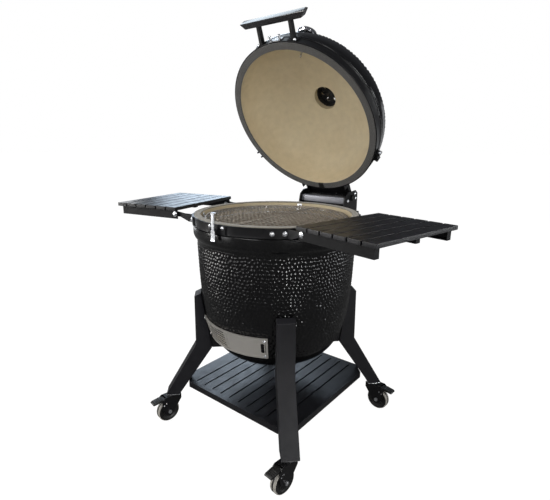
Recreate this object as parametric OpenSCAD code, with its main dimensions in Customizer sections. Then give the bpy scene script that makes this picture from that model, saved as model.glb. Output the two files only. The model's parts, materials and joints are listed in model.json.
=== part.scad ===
// Kamado ceramic grill on a wheeled stand, lid open, side shelves up.
// Drawn with +Z up, the floor at Z 0 and the cook at the -Y side.

/* [Bowl and dome] */
// Outer radius of the ceramic at the rim
rim_r = 279; // [265:1:285]
// Height of the rim above the floor
rim_z = 776; // [760:1:800]
// Thickness of the ceramic wall
wall = 23; // [20:1:26]
// Depth of the bowl below its rim
bowl_depth = 505; // [490:1:510]
// Height of the dome above the rim
dome_h = 205; // [190:1:230]
// Thickness of each felt gasket
gasket_t = 4; // [3:0.5:6]
// Height of the steel bands
band_h = 31; // [26:1:34]
// Thickness of the steel bands
band_t = 3.5; // [2:0.5:3.5]

/* [Lid] */
// Angle that the lid stands open
lid_open = 57.35; // [40:0.05:60]
// Distance from the bowl's axis back to the hinge shaft
hinge_y = 336; // [330:1:345]
// Height of the hinge shaft above the rim
hinge_rise = 24; // [22:1:26]
// Radius of the hinge shaft
hinge_shaft_r = 8; // [6:0.5:9]
// Length of the handle bar
handle_len = 256; // [200:1:300]
// Distance from the dome's axis forward to the handle bar
handle_y = 342; // [336:1:350]
// Radius of the thermometer's case
dial_r = 34; // [28:1:36]
// Radius of the vent hole in the dome's top
vent_r = 44; // [40:1:48]

/* [Stand] */
// Height of the legs' feet above the floor
foot_z = 109; // [106:1:112]
// Width of a leg
leg_w = 57; // [48:1:60]
// Thickness of the legs' sheet
leg_t = 3; // [2:0.5:4]
// Side of the square bottom shelf
tray_side = 496; // [480:1:498]
// Height of the bottom shelf's top
tray_z = 160; // [158:1:163]
// Number of slots in the bottom shelf
tray_slots = 10; // [6:1:12]

/* [Side shelves] */
// Height of the side shelves above the rim
shelf_rise = 17; // [15:1:20]
// Distance from the bowl's axis to a side shelf
shelf_gap = 296; // [294:1:300]
// Width of a side shelf, away from the bowl
shelf_w = 264; // [240:1:300]
// Length of a side shelf, front to back
shelf_len = 350; // [340:1:380]
// Angle that each side shelf is swept forward
shelf_sweep = 12; // [8:1:14]
// Number of slats on a side shelf
slat_count = 6; // [4:1:8]
// Gap between two slats
slat_gap = 5; // [3:0.5:8]

/* [Casters] */
// Radius of a caster's wheel
wheel_r = 41; // [38:1:42]
// Width of a caster's wheel
wheel_w = 24; // [22:1:26]
// Distance that a wheel trails behind its swivel
trail = 30; // [28:1:34]

/* [Hidden] */
$fn = 96;

// Colours
glaze = "#141416";
cream = "#c9b995";
black_steel = "#202124";
charcoal_steel = "#2c2d30";
stainless = "#a9a7a2";
zinc = "#c4c6c8";
felt = "#a8a59b";
iron = "#262423";

// The middle of the whole outline is at X 0, Y 0, and the bowl's axis stands at this Y
axis_y = -9.766;
// Running clearance of every pin in its bore, on the radius
fit = 0.05;
// Gap between surfaces that pass each other
gap = 0.3;

band_r = rim_r + 0.3 + band_t;
band_edge = 2;
collar_r = rim_r + 4;
neck_r = rim_r - 8;
neck_z = -89;
collar_z = -62;
hinge_z = rim_z + hinge_rise;

// Draft door, as angles from the front towards +X and heights from the rim
door_left = -35;
door_right = 33;
door_top = -352;
door_bottom = -430;
louvre_end = -1;
vent_left = -30;
vent_right = -5;
door_depth = 6;

// Angles of the legs about the bowl's axis, and the way that each caster points
LEG_ANGLES = [-45, 45, 135, 225];
CASTER_HEADINGS = [-97, -2, -80, -102];
foot_r = 381;

// ---- shared shapes ----

module at_axis() {
    translate([0, axis_y, 0])
        children();
}

module at_rim() {
    translate([0, axis_y, rim_z])
        children();
}

// Swings what is drawn on the closed lid, in the rim's frame, up to its open place
module on_lid() {
    translate([0, axis_y + hinge_y, hinge_z])
        rotate([-lid_open, 0, 0])
            translate([0, -hinge_y, -hinge_rise])
                children();
}

module tube(r_in, r_out, z_low, z_high) {
    rotate_extrude()
        translate([r_in, z_low])
            square([r_out - r_in, z_high - z_low]);
}

// Turns a radial outline through the angles a to b, measured from the front towards +X
module sector(a, b) {
    rotate([0, 0, a - 90])
        rotate_extrude(angle = b - a)
            children();
}

// A curved plate that hugs a band
module band_pad(a, b, z_low, z_high, thick) {
    sector(a, b)
        translate([band_r + 0.1, z_low])
            square([thick, z_high - z_low]);
}

// Stands a child's +Z outwards at an angle from the front
module outwards(a, r, z) {
    rotate([0, 0, a])
        translate([0, -r, z])
            rotate([90, 0, 0])
                children();
}

// Domed head of a bolt
module dome_bolt(head_r, head_h) {
    rotate_extrude()
        polygon([
            [0, 0], [head_r, 0], [head_r, head_h * 0.4], [head_r * 0.8, head_h * 0.8],
            [head_r * 0.4, head_h], [0, head_h]
        ]);
}

// Extrudes an outline drawn in Y and Z through the X span
module yz_plate(x_low, x_high) {
    translate([x_low, 0, 0])
        rotate([90, 0, 90])
            linear_extrude(height = x_high - x_low)
                children();
}

// Extrudes an outline drawn in X and Z through the Y span
module xz_plate(y_low, y_high) {
    translate([0, y_high, 0])
        rotate([90, 0, 0])
            linear_extrude(height = y_high - y_low)
                children();
}

// Radius of the belly's curve, where t runs from 0 at the neck to 1 at the bottom
function belly_r(t, neck, taper) = (neck - taper * t) * pow(1 - pow(t, 3.6), 0.2);

function belly(neck, taper, z_top, z_low, steps, t_end) = [
    for (i = [0:steps])
        let(t = t_end * sin(90 * i / steps))
        [belly_r(t, neck, taper), z_top + (z_low - z_top) * t]
];

function reversed(list) = [for (i = [len(list) - 1:-1:0]) list[i]];

// Curve of the dome from its foot towards the top, stopping at radius r_stop
function dome(foot_r, foot_z, top_z, steps, r_stop) =
    let(end = acos(pow(r_stop / foot_r, 1.05)))
    [
        for (i = [0:steps])
            let(a = end * i / steps)
            [foot_r * pow(cos(a), 0.952), foot_z + (top_z - foot_z) * pow(sin(a), 0.952)]
    ];

// ---- bowl ----

module base_shell() {
    outer = belly(neck_r, 14, neck_z, -bowl_depth, 18, 0.99);
    inner = belly(neck_r - wall, 14, neck_z, wall + 6 - bowl_depth, 18, 0.99);
    color(glaze)
        difference() {
            rotate_extrude()
                polygon(concat(
                    [
                        [rim_r - wall, -gasket_t], [rim_r, -gasket_t],
                        [rim_r, -band_edge - band_h - 1],
                        [collar_r, -band_edge - band_h - 2], [collar_r, collar_z],
                        [collar_r - 3, collar_z - 9], [neck_r + 3, neck_z + 9]
                    ],
                    outer,
                    [[118, -bowl_depth], [0, -bowl_depth], [0, wall + 6 - bowl_depth]],
                    reversed(inner)
                ));
            sector(vent_left, vent_right)
                translate([150, door_bottom + 8])
                    square([150, door_top - door_bottom - 16]);
        }
}

module base_gasket() {
    color(felt)
        tube(rim_r - wall + 1, rim_r, -gasket_t, 0);
}

module base_band() {
    color(black_steel)
        tube(rim_r + 0.3, band_r, -band_edge - band_h, -band_edge);
}

// ---- inside the bowl ----

firebox_top = -140;
firebox_low = -455;
firebox_neck = 236;
firebox_wall = 20;
ring_top = -40;
coal_z = -411;

module firebox() {
    outer = belly(firebox_neck, 14, firebox_top, firebox_low, 14, 0.98);
    inner = belly(
        firebox_neck - firebox_wall, 14, firebox_top, firebox_low + firebox_wall, 14, 0.98
    );
    color(cream)
        difference() {
            rotate_extrude()
                polygon(concat(
                    outer,
                    [[0, firebox_low], [0, firebox_low + firebox_wall]],
                    reversed(inner)
                ));
            sector(vent_left, vent_right)
                translate([120, door_bottom + 4])
                    square([130, 40]);
            translate([0, 0, firebox_low - 1])
                cylinder(r = 30, h = firebox_wall + 2);
            for (i = [0:7])
                rotate([0, 0, 45 * i])
                    translate([75, 0, firebox_low - 1])
                        cylinder(r = 11, h = firebox_wall + 2);
        }
}

module fire_ring() {
    color(cream)
        tube(firebox_neck - firebox_wall, firebox_neck, firebox_top, ring_top);
}

module charcoal_grate() {
    grate_r = 153;
    color(iron)
        translate([0, 0, coal_z])
            difference() {
                cylinder(r = grate_r, h = 7);
                for (i = [-6:6])
                    let(half = sqrt(pow(grate_r - 14, 2) - pow(21 * i, 2)))
                    translate([21 * i - 6, -half, -1])
                        cube([12, 2 * half, 9]);
            }
}

rack_r = 238;
rack_z = -21;
grate_z = -17.6;
CLIP_ANGLES = [106, 197, 308];

module wire_ring(r, z, wire_r) {
    rotate_extrude()
        translate([r, z])
            circle(r = wire_r);
}

module grate_rack() {
    color(stainless) {
        wire_ring(228, ring_top + 3.1, 3);
        wire_ring(rack_r, rack_z, 3);
        for (a = CLIP_ANGLES) {
            // Leg of flat bar between the two rings, with a clip that rises past the grates
            sector(a - 2, a + 2)
                polygon([
                    [226, ring_top + 1], [229, ring_top + 1], [243, rack_z - 2], [252, rack_z],
                    [252, -5], [249.5, -5], [249.5, rack_z + 2], [236, rack_z + 1]
                ]);
        }
    }
}

// Half-moon grate of a round rim wire and parallel rods
module half_grate() {
    rod_r = 2;
    pitch = 20;
    frame_r = 243;
    seam = 3.5;
    sector(180.8, 359.2)
        translate([frame_r, grate_z + 3])
            circle(r = 3);
    translate([-seam, -frame_r, grate_z + 3])
        rotate([-90, 0, 0])
            cylinder(r = 2.5, h = 2 * frame_r);
    for (i = [-11:11])
        let(reach = sqrt(pow(frame_r, 2) - pow(pitch * i, 2)))
        translate([-reach, pitch * i, grate_z + 3])
            rotate([0, 90, 0])
                cylinder(r = rod_r, h = reach - seam);
}

module grate_left() {
    color(stainless)
        half_grate();
}

module grate_right() {
    color(stainless)
        mirror([1, 0, 0])
            half_grate();
}

// ---- draft door ----

door_slope = (belly_r((neck_z - door_top) / (bowl_depth + neck_z), neck_r, 14)
    - belly_r((neck_z - door_bottom) / (bowl_depth + neck_z), neck_r, 14))
    / (door_top - door_bottom);
door_top_r = belly_r((neck_z - door_top) / (bowl_depth + neck_z), neck_r, 14) + 3;

// Radius of the door's line at a height, d in front of the ceramic
function door_r(z, d) = door_top_r - (door_top - z) * door_slope + d;

// A slanted strip of the door between two heights and two stand-offs
module door_strip(z_high, z_low, d_in, d_out) {
    polygon([
        [door_r(z_high, d_in), z_high], [door_r(z_high, d_out), z_high],
        [door_r(z_low, d_out), z_low], [door_r(z_low, d_in), z_low]
    ]);
}

module draft_frame() {
    louvre_pitch = 10;
    rail = 4;
    lip = 7;
    ear = 5;
    ear_h = 17;
    strap = 1.5;
    color(stainless)
        difference() {
            sector(door_left, door_right)
                door_strip(door_top, door_bottom, 0, door_depth);
            // Window between the lips, narrower between the two ears at the right
            sector(door_left + 3, door_right - ear)
                door_strip(door_top - lip, door_bottom + lip, 4, door_depth + 1);
            sector(door_right - ear - 1, door_right - strap)
                door_strip(door_top - ear_h, door_bottom + ear_h, 4, door_depth + 1);
            // Channel that the slider runs in, and the opening behind it
            sector(door_left + 3, door_right - strap)
                door_strip(door_top - rail, door_bottom + rail, 1.6, 4.4);
            sector(louvre_end, door_right - strap)
                door_strip(door_top - rail, door_bottom + rail, -1, 2);
            for (i = [0:5])
                sector(door_left + 5, louvre_end - 3)
                    translate([200, door_bottom + 12 + louvre_pitch * i])
                        square([80, 5]);
        }
}

module draft_slider() {
    slot_a = door_right - 4;
    color(stainless)
        difference() {
            sector(0, door_right - 2)
                door_strip(door_top - 4.5, door_bottom + 4.5, 2.2, 4);
            // Finger hole
            outwards(slot_a, 200, (door_top + door_bottom) / 2)
                linear_extrude(height = 80)
                    square([11, 26], center = true);
            for (end = [-13, 13])
                outwards(slot_a, 200, (door_top + door_bottom) / 2 + end)
                    cylinder(r = 6, h = 80);
        }
}

// ---- latch ----

latch_y = -(band_r + 10);
latch_z = -24;
latch_pin_r = 2.5;

module latch_bracket() {
    color(stainless) {
        difference() {
            union() {
                band_pad(-7.5, 7.5, -31, -6, 2.5);
                for (x = [-13, 10])
                    yz_plate(x, x + 3)
                        polygon([
                            [-band_r - 1, -9], [latch_y - 6, -18],
                            [latch_y - 6, -31], [-band_r - 1, -31]
                        ]);
            }
            translate([-20, latch_y, latch_z])
                rotate([0, 90, 0])
                    cylinder(r = latch_pin_r + fit, h = 40);
        }
        translate([-14, latch_y, latch_z])
            rotate([0, 90, 0])
                cylinder(r = latch_pin_r, h = 28);
    }
}

module latch_lever() {
    color(zinc)
        difference() {
            union() {
                translate([-9.5, latch_y, latch_z])
                    rotate([0, 90, 0])
                        cylinder(r = 5, h = 19);
                // Bar with its hook, and the wide tip below
                yz_plate(-5, 5)
                    polygon([
                        [latch_y - 5.5, latch_z], [latch_y - 5.5, 32], [latch_y - 4, 34],
                        [latch_y + 5, 34], [latch_y + 6, 30.5], [latch_y - 1.5, 30.5],
                        [latch_y - 1.5, latch_z]
                    ]);
                yz_plate(-8, 8)
                    polygon([
                        [latch_y - 5.5, latch_z + 4], [latch_y - 1.5, latch_z + 4],
                        [latch_y - 1.5, -40], [latch_y - 3, -51], [latch_y - 7, -51],
                        [latch_y - 5.5, -40]
                    ]);
            }
            translate([-20, latch_y, latch_z])
                rotate([0, 90, 0])
                    cylinder(r = latch_pin_r + fit, h = 40);
        }
}

// ---- stand ----

knee_z = -472;

module leg_outline() {
    polygon([
        [267, -278], [289, -288], [291, knee_z], [foot_r + 25, foot_z - rim_z],
        [foot_r - 23, foot_z - rim_z], [234, knee_z - 13], [249, -385]
    ]);
}

// Box leg of folded sheet, open at the foot
module leg(i) {
    color(charcoal_steel)
        rotate([0, 0, LEG_ANGLES[i]])
            difference() {
                xz_plate(-leg_w / 2, leg_w / 2)
                    leg_outline();
                xz_plate(leg_t - leg_w / 2, leg_w / 2 - leg_t)
                    union() {
                        offset(delta = -leg_t)
                            leg_outline();
                        translate([foot_r - 15, foot_z - rim_z - 5])
                            square([30, 12]);
                    }
            }
}

// Angle brackets that stand inside the legs and carry the bowl
module cradle_brackets() {
    color(black_steel)
        for (a = LEG_ANGLES)
            rotate([0, 0, a]) {
                for (y = [-22, 18])
                    xz_plate(y, y + 4)
                        polygon([
                            [244.5, -387], [248.3, -387], [233.3, knee_z - 15],
                            [191.5, knee_z - 15], [191.5, -478], [207.5, -462], [227, -433]
                        ]);
                xz_plate(-22, 22)
                    polygon([
                        [233.3, knee_z - 15], [191.5, knee_z - 15],
                        [191.5, knee_z - 11], [233.8, knee_z - 11]
                    ]);
            }
}

// Pressed tray with folded edges and a row of slots, its corners cut to meet the legs
module bottom_shelf() {
    half = tray_side / 2;
    lip = 22;
    sheet = 2;
    pan_depth = 8;
    border = 20;
    corner = 321.4 * sqrt(2) - half;
    pitch = (tray_side - 2 * border) / (tray_slots + 1);
    outline = [
        [half, -corner], [half, corner], [corner, half], [-corner, half],
        [-half, corner], [-half, -corner], [-corner, -half], [corner, -half]
    ];
    color(black_steel)
        translate([0, 0, tray_z]) {
            difference() {
                translate([0, 0, -lip])
                    linear_extrude(height = lip)
                        polygon(outline);
                translate([0, 0, -lip - 1])
                    linear_extrude(height = lip + 1 - sheet)
                        offset(delta = -sheet)
                            polygon(outline);
                for (i = [1:tray_slots])
                    translate([border + pitch * i - half - 3, border - half, -sheet - 1])
                        cube([6, tray_side - 2 * border, 2 * sheet + 1]);
            }
            // Stiffening pan that shuts the slots from below
            translate([0, 0, -pan_depth])
                linear_extrude(height = 1.5)
                    offset(delta = -sheet / 2)
                        polygon(outline);
        }
}

// ---- side shelves, drawn along their own outward X and backward Y ----

fold_u = shelf_gap + 10;
fold_z = -8;
web_t = 161;
frame_top = 5;
frame_low = -24;
pin_r = 4;

module right_side() {
    rotate([0, 0, -shelf_sweep])
        children();
}

module left_side() {
    mirror([1, 0, 0])
        rotate([0, 0, -shelf_sweep])
            children();
}

module shelf_mount() {
    color(black_steel)
        for (s = [0, 1])
            mirror([0, s, 0])
                difference() {
                    union() {
                        band_pad(44, 60, -32, -3, 3);
                        xz_plate(-156, -152)
                            polygon([
                                [239.5, -31], [255, -31], [290, -17], [fold_u, fold_z - 9],
                                [fold_u + 6.4, fold_z - 6.4], [fold_u + 9, fold_z],
                                [fold_u + 6.4, fold_z + 6.4], [fold_u, fold_z + 9],
                                [270, -4], [239.5, -4]
                            ]);
                    }
                    translate([fold_u, -140, fold_z])
                        rotate([90, 0, 0])
                            cylinder(r = pin_r + fit, h = 30);
                }
}

module shelf_frame() {
    far = shelf_gap + shelf_w;
    color(black_steel) {
        for (s = [0, 1])
            mirror([0, s, 0]) {
                difference() {
                    translate([shelf_gap, -web_t - 3, frame_low])
                        cube([shelf_w - 12, 3, frame_top - frame_low]);
                    translate([fold_u, -140, fold_z])
                        rotate([90, 0, 0])
                            cylinder(r = pin_r + fit, h = 40);
                }
                for (z = [frame_low, frame_top - 2.5])
                    translate([335, -web_t - 1, z])
                        cube([far - 347, 16, 2.5]);
                translate([far - 14.5, -web_t - 1, frame_low])
                    cube([2.5, 16, frame_top - frame_low]);
            }
        // Cross rail and the middle rail on it
        translate([430, -web_t - 0.5, frame_low + 6])
            cube([20, 2 * web_t + 1, frame_top - frame_low - 6]);
        translate([340, -9, frame_top - 14])
            cube([far - 348, 18, 14]);
    }
}

// Slats of folded sheet, open below
module shelf_slats() {
    pitch = (shelf_w + slat_gap) / slat_count;
    slat_w = pitch - slat_gap;
    sheet = 2;
    color(charcoal_steel)
        for (i = [0:slat_count - 1])
            translate([shelf_gap + pitch * i, -shelf_len / 2, frame_top])
                difference() {
                    cube([slat_w, shelf_len, shelf_rise - frame_top]);
                    translate([sheet, sheet, -1])
                        cube([
                            slat_w - 2 * sheet, shelf_len - 2 * sheet,
                            shelf_rise - frame_top + 1 - sheet
                        ]);
                }
}

// ---- hinge ----

cheek_x = 101;
cheek_t = 4;
arm_x = 94;

module hinge_bore(x_low, x_high, r) {
    translate([x_low, hinge_y, hinge_rise])
        rotate([0, 90, 0])
            cylinder(r = r, h = x_high - x_low);
}

module hinge_lower_bracket() {
    color(black_steel)
        difference() {
            union() {
                band_pad(158, 202, -32, -3, 3.5);
                for (x = [-cheek_x - cheek_t, cheek_x])
                    yz_plate(x, x + cheek_t)
                        polygon([
                            [265.2, -40], [265.2, -4], [276, -3], [284, 30], [306, 46],
                            [366, 51], [380, 40], [380, -36], [370, -40]
                        ]);
                translate([-cheek_x, 345, -40])
                    cube([2 * cheek_x, 35, 3.5]);
            }
            hinge_bore(-120, 120, hinge_shaft_r + fit);
        }
}

module hinge_shaft() {
    color(zinc) {
        hinge_bore(-cheek_x - 9, cheek_x + 9, hinge_shaft_r);
        for (x = [-cheek_x - 12, cheek_x + 6])
            translate([x, 0, 0])
                hinge_bore(0, 6, 12);
    }
}

// Two torsion springs on the shaft, each a row of coils
module hinge_springs() {
    coils = 13;
    wire = 2;
    color(zinc)
        for (start = [-86, 34])
            for (i = [0:coils - 1])
                translate([start + 2 * wire * i * 1.08, hinge_y, hinge_rise])
                    rotate([0, 90, 0])
                        rotate_extrude()
                            translate([hinge_shaft_r + 0.8 + wire, 0])
                                circle(r = wire);
}

module hinge_bar() {
    color(stainless)
        yz_plate(-cheek_x + gap, cheek_x - gap)
            difference() {
                translate([293, 2])
                    polygon([
                        [3, 0], [22, 0], [25, 3], [25, 22], [22, 25], [3, 25], [0, 22], [0, 3]
                    ]);
                translate([296, 5])
                    square([19, 19]);
            }
}

module hinge_upper_bracket() {
    color(black_steel)
        difference() {
            union() {
                band_pad(160.5, 199.5, 6, 32, 3);
                for (x = [-arm_x - 4, arm_x])
                    yz_plate(x, x + 4)
                        polygon([
                            [268.2, 7], [268.2, 40], [290, 44], [hinge_y + 8, 42],
                            [hinge_y + 14, 30], [hinge_y + 14, 18], [hinge_y + 6, 10],
                            [hinge_y - 6, 9.5], [318, 28], [288, 29], [286, 7]
                        ]);
                // Cover between the arms, over the springs
                yz_plate(-arm_x - 1, arm_x + 1)
                    polygon([
                        [284.5, 29], [287.3, 29], [290, 38.5], [hinge_y + 6, 38.5],
                        [hinge_y + 6, 41.5], [289, 41.5]
                    ]);
            }
            hinge_bore(-120, 120, hinge_shaft_r + fit);
        }
}

// ---- lid, drawn closed in the rim's frame ----

// Height of the thermometer's case above the nut's foot
dial_lift = 11;

module dial_place() {
    translate([0, -215, 153.6])
        rotate([33.4, 0, 0])
            children();
}

dome_foot_z = 44;
needle_pin_r = 1.2;

module lid_shell() {
    outer = dome(collar_r, dome_foot_z, dome_h, 20, vent_r);
    inner = dome(collar_r - wall - 4, dome_foot_z, dome_h - wall, 20, vent_r);
    color(glaze)
        difference() {
            rotate_extrude()
                polygon(concat(
                    [
                        [rim_r - wall, gasket_t + 0.5], [rim_r, gasket_t + 0.5],
                        [rim_r, band_edge + band_h + 1], [collar_r, band_edge + band_h + 2]
                    ],
                    outer,
                    reversed(inner)
                ));
            dial_place()
                translate([0, 0, -60])
                    cylinder(r = 10, h = 100);
        }
}

module lid_gasket() {
    color(felt)
        tube(rim_r - wall + 1, rim_r, 0.5, gasket_t + 0.5);
}

module lid_band() {
    color(black_steel)
        tube(rim_r + 0.3, band_r, band_edge, band_edge + band_h);
}

module lid_catch() {
    color(stainless) {
        band_pad(-4.5, 4.5, 6, 28, 2);
        yz_plate(-9, 9)
            polygon([
                [-band_r, 25], [latch_y + 6.7, 25], [latch_y + 6.7, 28], [-band_r, 28]
            ]);
    }
}

module handle_bar() {
    color("#55565a")
        translate([-handle_len / 2, -handle_y, 32])
            rotate([90, 0, 90])
                linear_extrude(height = handle_len)
                    polygon([
                        [-12, -6], [-7, -11], [6, -11], [11, -6],
                        [11, 7], [6, 12], [-7, 12], [-12, 7]
                    ]);
}

module handle_posts() {
    color(black_steel)
        for (s = [0, 1])
            mirror([s, 0, 0]) {
                band_pad(10, 16.5, 5, 32, 2.5);
                yz_plate(58, 68)
                    polygon([
                        [-band_r + 5, 12], [-handle_y + 16, 24], [-handle_y + 11, 24],
                        [-handle_y + 11, 40], [-handle_y + 16, 40], [-band_r + 5, 30]
                    ]);
            }
}

module thermometer_case() {
    color(zinc)
        dial_place() {
            translate([0, 0, dial_lift]) {
                difference() {
                    union() {
                        translate([0, 0, 10])
                            cylinder(r = dial_r - 3, h = 4);
                        translate([0, 0, 14])
                            cylinder(r = dial_r, h = 13);
                    }
                    translate([0, 0, 18])
                        cylinder(r = dial_r - 3, h = 20);
                }
                translate([0, 0, 17])
                    cylinder(r = 2.5, h = 2.5);
                translate([0, 0, 17])
                    cylinder(r = needle_pin_r, h = 4.5);
            }
            cylinder(r = 16, h = 10 + dial_lift, $fn = 6);
            translate([0, 0, -30])
                cylinder(r = 9.5, h = 31);
            translate([0, 0, -54])
                cylinder(r = 3, h = 28);
        }
}

module thermometer_glass() {
    color("#dfe8ea", 0.35)
        dial_place()
            translate([0, 0, dial_lift + 24.5])
                cylinder(r = dial_r - 3.2, h = 2);
}

module thermometer_needle() {
    color("#b02418")
        dial_place()
            translate([0, 0, dial_lift + 20])
                difference() {
                    union() {
                        cylinder(r = 3, h = 1.2);
                        translate([-22, -0.8, 0])
                            cube([30, 1.6, 1]);
                    }
                    translate([0, 0, -1])
                        cylinder(r = needle_pin_r + fit, h = 4);
                }
}

vent_low = dome_h - 1;
vent_plate = 226;
// Turn of the disc's holes from the plate's: all but shut
vent_rest = 22;

module vent_petals(z_low, z_high) {
    petal_r = 7.5;
    for (i = [0:5])
        rotate([0, 0, 60 * i])
            translate([vent_r - 14, 0, z_low])
                cylinder(r = petal_r, h = z_high - z_low);
}

module vent_base() {
    color(iron)
        difference() {
            rotate_extrude()
                polygon([
                    [vent_r - 5, 182], [vent_r - 0.5, 182], [vent_r - 0.5, vent_low],
                    [66, vent_low], [66, vent_low + 4], [54, vent_low + 8], [50, vent_plate],
                    [0, vent_plate], [0, vent_plate - 4], [vent_r - 5, vent_plate - 4]
                ]);
            vent_petals(vent_plate - 10, vent_plate + 5);
        }
}

module vent_disc() {
    color(iron)
        difference() {
            rotate_extrude()
                polygon([
                    [0, vent_plate + gap], [48, vent_plate + gap], [48, vent_plate + 4],
                    [12, vent_plate + 6], [9, vent_plate + 12], [15, vent_plate + 17],
                    [15, vent_plate + 24], [10, vent_plate + 27], [0, vent_plate + 27]
                ]);
            rotate([0, 0, vent_rest])
                vent_petals(vent_plate - 1, vent_plate + 10);
        }
}

// ---- bolts ----

module base_bolts() {
    color(zinc) {
        // Two at each end of both side shelves' mounts, and two beside the latch
        for (a = [36.3, 43.6, 112.4, 119.7, -36.3, -43.6, -112.4, -119.7])
            outwards(a, band_r + 3.2, -17.5)
                dome_bolt(5.5, 4);
        for (a = [-5.4, 5.4])
            outwards(a, band_r + 2.7, -11)
                dome_bolt(4, 3);
        // Draft door's corners
        for (a = [door_left + 1.5, door_right - 2.2])
            for (z = [door_top - 9, door_bottom + 9])
                outwards(a, door_r(z, door_depth + 0.3), z)
                    rotate([atan(door_slope), 0, 0])
                        dome_bolt(4, 3);
        // Hinge cheeks
        for (side = [-90, 90])
            for (at = [[306, 14], [364, 20], [360, 38]])
                translate([sign(side) * (cheek_x + cheek_t), at[0], at[1]])
                    rotate([0, side, 0])
                        dome_bolt(5, 4);
        // Fold pins of the side shelves
        for (side = [0, 1])
            mirror([side, 0, 0])
                rotate([0, 0, -shelf_sweep])
                    for (s = [0, 1])
                        mirror([0, s, 0])
                            translate([fold_u, -151.5, fold_z])
                                rotate([90, 0, 0]) {
                                    cylinder(r = pin_r, h = 16);
                                    translate([0, 0, -3])
                                        cylinder(r = 7, h = 3);
                                    translate([0, 0, 13.2])
                                        cylinder(r = 7, h = 3.5);
                                }
    }
}

module lid_bolts() {
    color(zinc) {
        for (a = [-14.8, 14.8])
            outwards(a, band_r + 2.7, 10)
                dome_bolt(4, 3);
        for (a = [-3.6, 3.6])
            outwards(a, band_r + 2.2, 12)
                dome_bolt(3.5, 2.5);
        for (a = [163, 197])
            outwards(a, band_r + 3.2, 22)
                dome_bolt(4.5, 3.5);
    }
}

// ---- casters ----

// Stands the child on a foot, its +X along the way that the wheel trails
module at_caster(i) {
    angle = LEG_ANGLES[i];
    translate([foot_r * cos(angle), foot_r * sin(angle), 0])
        rotate([0, 0, CASTER_HEADINGS[i]])
            children();
}

race_z = foot_z - 9;
cheek_in = wheel_w / 2 + 2.5;
pedal_x = trail + 18;
pedal_z = race_z - 9;

module caster_plates() {
    color(zinc)
        for (i = [0:3])
            rotate([0, 0, LEG_ANGLES[i]])
                translate([foot_r, 0, 0])
                    difference() {
                        union() {
                            translate([-24, -28, foot_z - 3])
                                cube([48, 56, 3]);
                            translate([0, 0, race_z])
                                cylinder(r = 20, h = 7);
                        }
                        translate([0, 0, race_z - 1])
                            cylinder(r = 6 + fit, h = 20);
                    }
}

module caster_fork(i) {
    color(black_steel)
        at_caster(i) {
            translate([0, 0, race_z - 4.5])
                cylinder(r = 21, h = 4.5 - gap);
            translate([0, 0, race_z - 1])
                cylinder(r = 6, h = 9.5);
            difference() {
                union() {
                    translate([0, -cheek_in - 2.5, race_z - 4.5])
                        cube([pedal_x - 8, 2 * cheek_in + 5, 4]);
                    for (y = [-cheek_in - 2.5, cheek_in])
                        xz_plate(y, y + 2.5)
                            polygon([
                                [-19, race_z - 0.5], [pedal_x - 2, race_z - 0.5],
                                [pedal_x + 5, pedal_z + 3], [pedal_x + 8, pedal_z - 5],
                                [trail + 27, wheel_r + 26], [trail + 22, wheel_r + 4],
                                [trail + 14, wheel_r - 12], [trail + 3, wheel_r - 18],
                                [trail - 8, wheel_r - 16], [trail - 16, wheel_r - 6],
                                [-19, race_z - 20]
                            ]);
                }
                translate([trail, 30, wheel_r])
                    rotate([90, 0, 0])
                        cylinder(r = 4 + fit, h = 60);
                translate([pedal_x, 30, pedal_z])
                    rotate([90, 0, 0])
                        cylinder(r = 2.5 + fit, h = 60);
            }
        }
}

module caster_wheel(i) {
    color(black_steel)
        at_caster(i)
            translate([trail, 0, wheel_r])
                rotate([90, 0, 0])
                    rotate_extrude()
                        polygon([
                            [4 + fit, -wheel_w / 2 - 2], [10, -wheel_w / 2 - 2],
                            [11, 2 - wheel_w / 2], [27, 4 - wheel_w / 2],
                            [31, -wheel_w / 2 + 1], [wheel_r - 4, -wheel_w / 2],
                            [wheel_r, 5 - wheel_w / 2], [wheel_r, wheel_w / 2 - 5],
                            [wheel_r - 4, wheel_w / 2], [31, wheel_w / 2 - 1],
                            [27, wheel_w / 2 - 4], [11, wheel_w / 2 - 2],
                            [10, wheel_w / 2 + 2], [4 + fit, wheel_w / 2 + 2]
                        ]);
}

module caster_axle(i) {
    out = cheek_in + 2.5;
    color(zinc)
        at_caster(i)
            translate([trail, 0, wheel_r])
                rotate([90, 0, 0]) {
                    translate([0, 0, -out - 5])
                        cylinder(r = 4, h = 2 * out + 10);
                    for (z = [-out - 4.6, out + 0.1])
                        translate([0, 0, z])
                            cylinder(r = 7.5, h = 4.5, $fn = 6);
                }
}

module caster_pedal(i) {
    color(black_steel)
        at_caster(i) {
            translate([pedal_x, cheek_in + 2.5, pedal_z])
                rotate([90, 0, 0])
                    cylinder(r = 2.5, h = 2 * cheek_in + 5);
            xz_plate(gap - cheek_in, cheek_in - gap)
                polygon([
                    [pedal_x - 8, pedal_z + 1], [pedal_x - 4, pedal_z + 4.5],
                    [pedal_x + 10, pedal_z + 4.5], [pedal_x + 36, pedal_z + 1],
                    [pedal_x + 42, pedal_z - 5], [pedal_x + 38, pedal_z - 7],
                    [pedal_x + 8, pedal_z - 4], [pedal_x, pedal_z - 4.5]
                ]);
        }
}

// ---- the assembly ----

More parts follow.
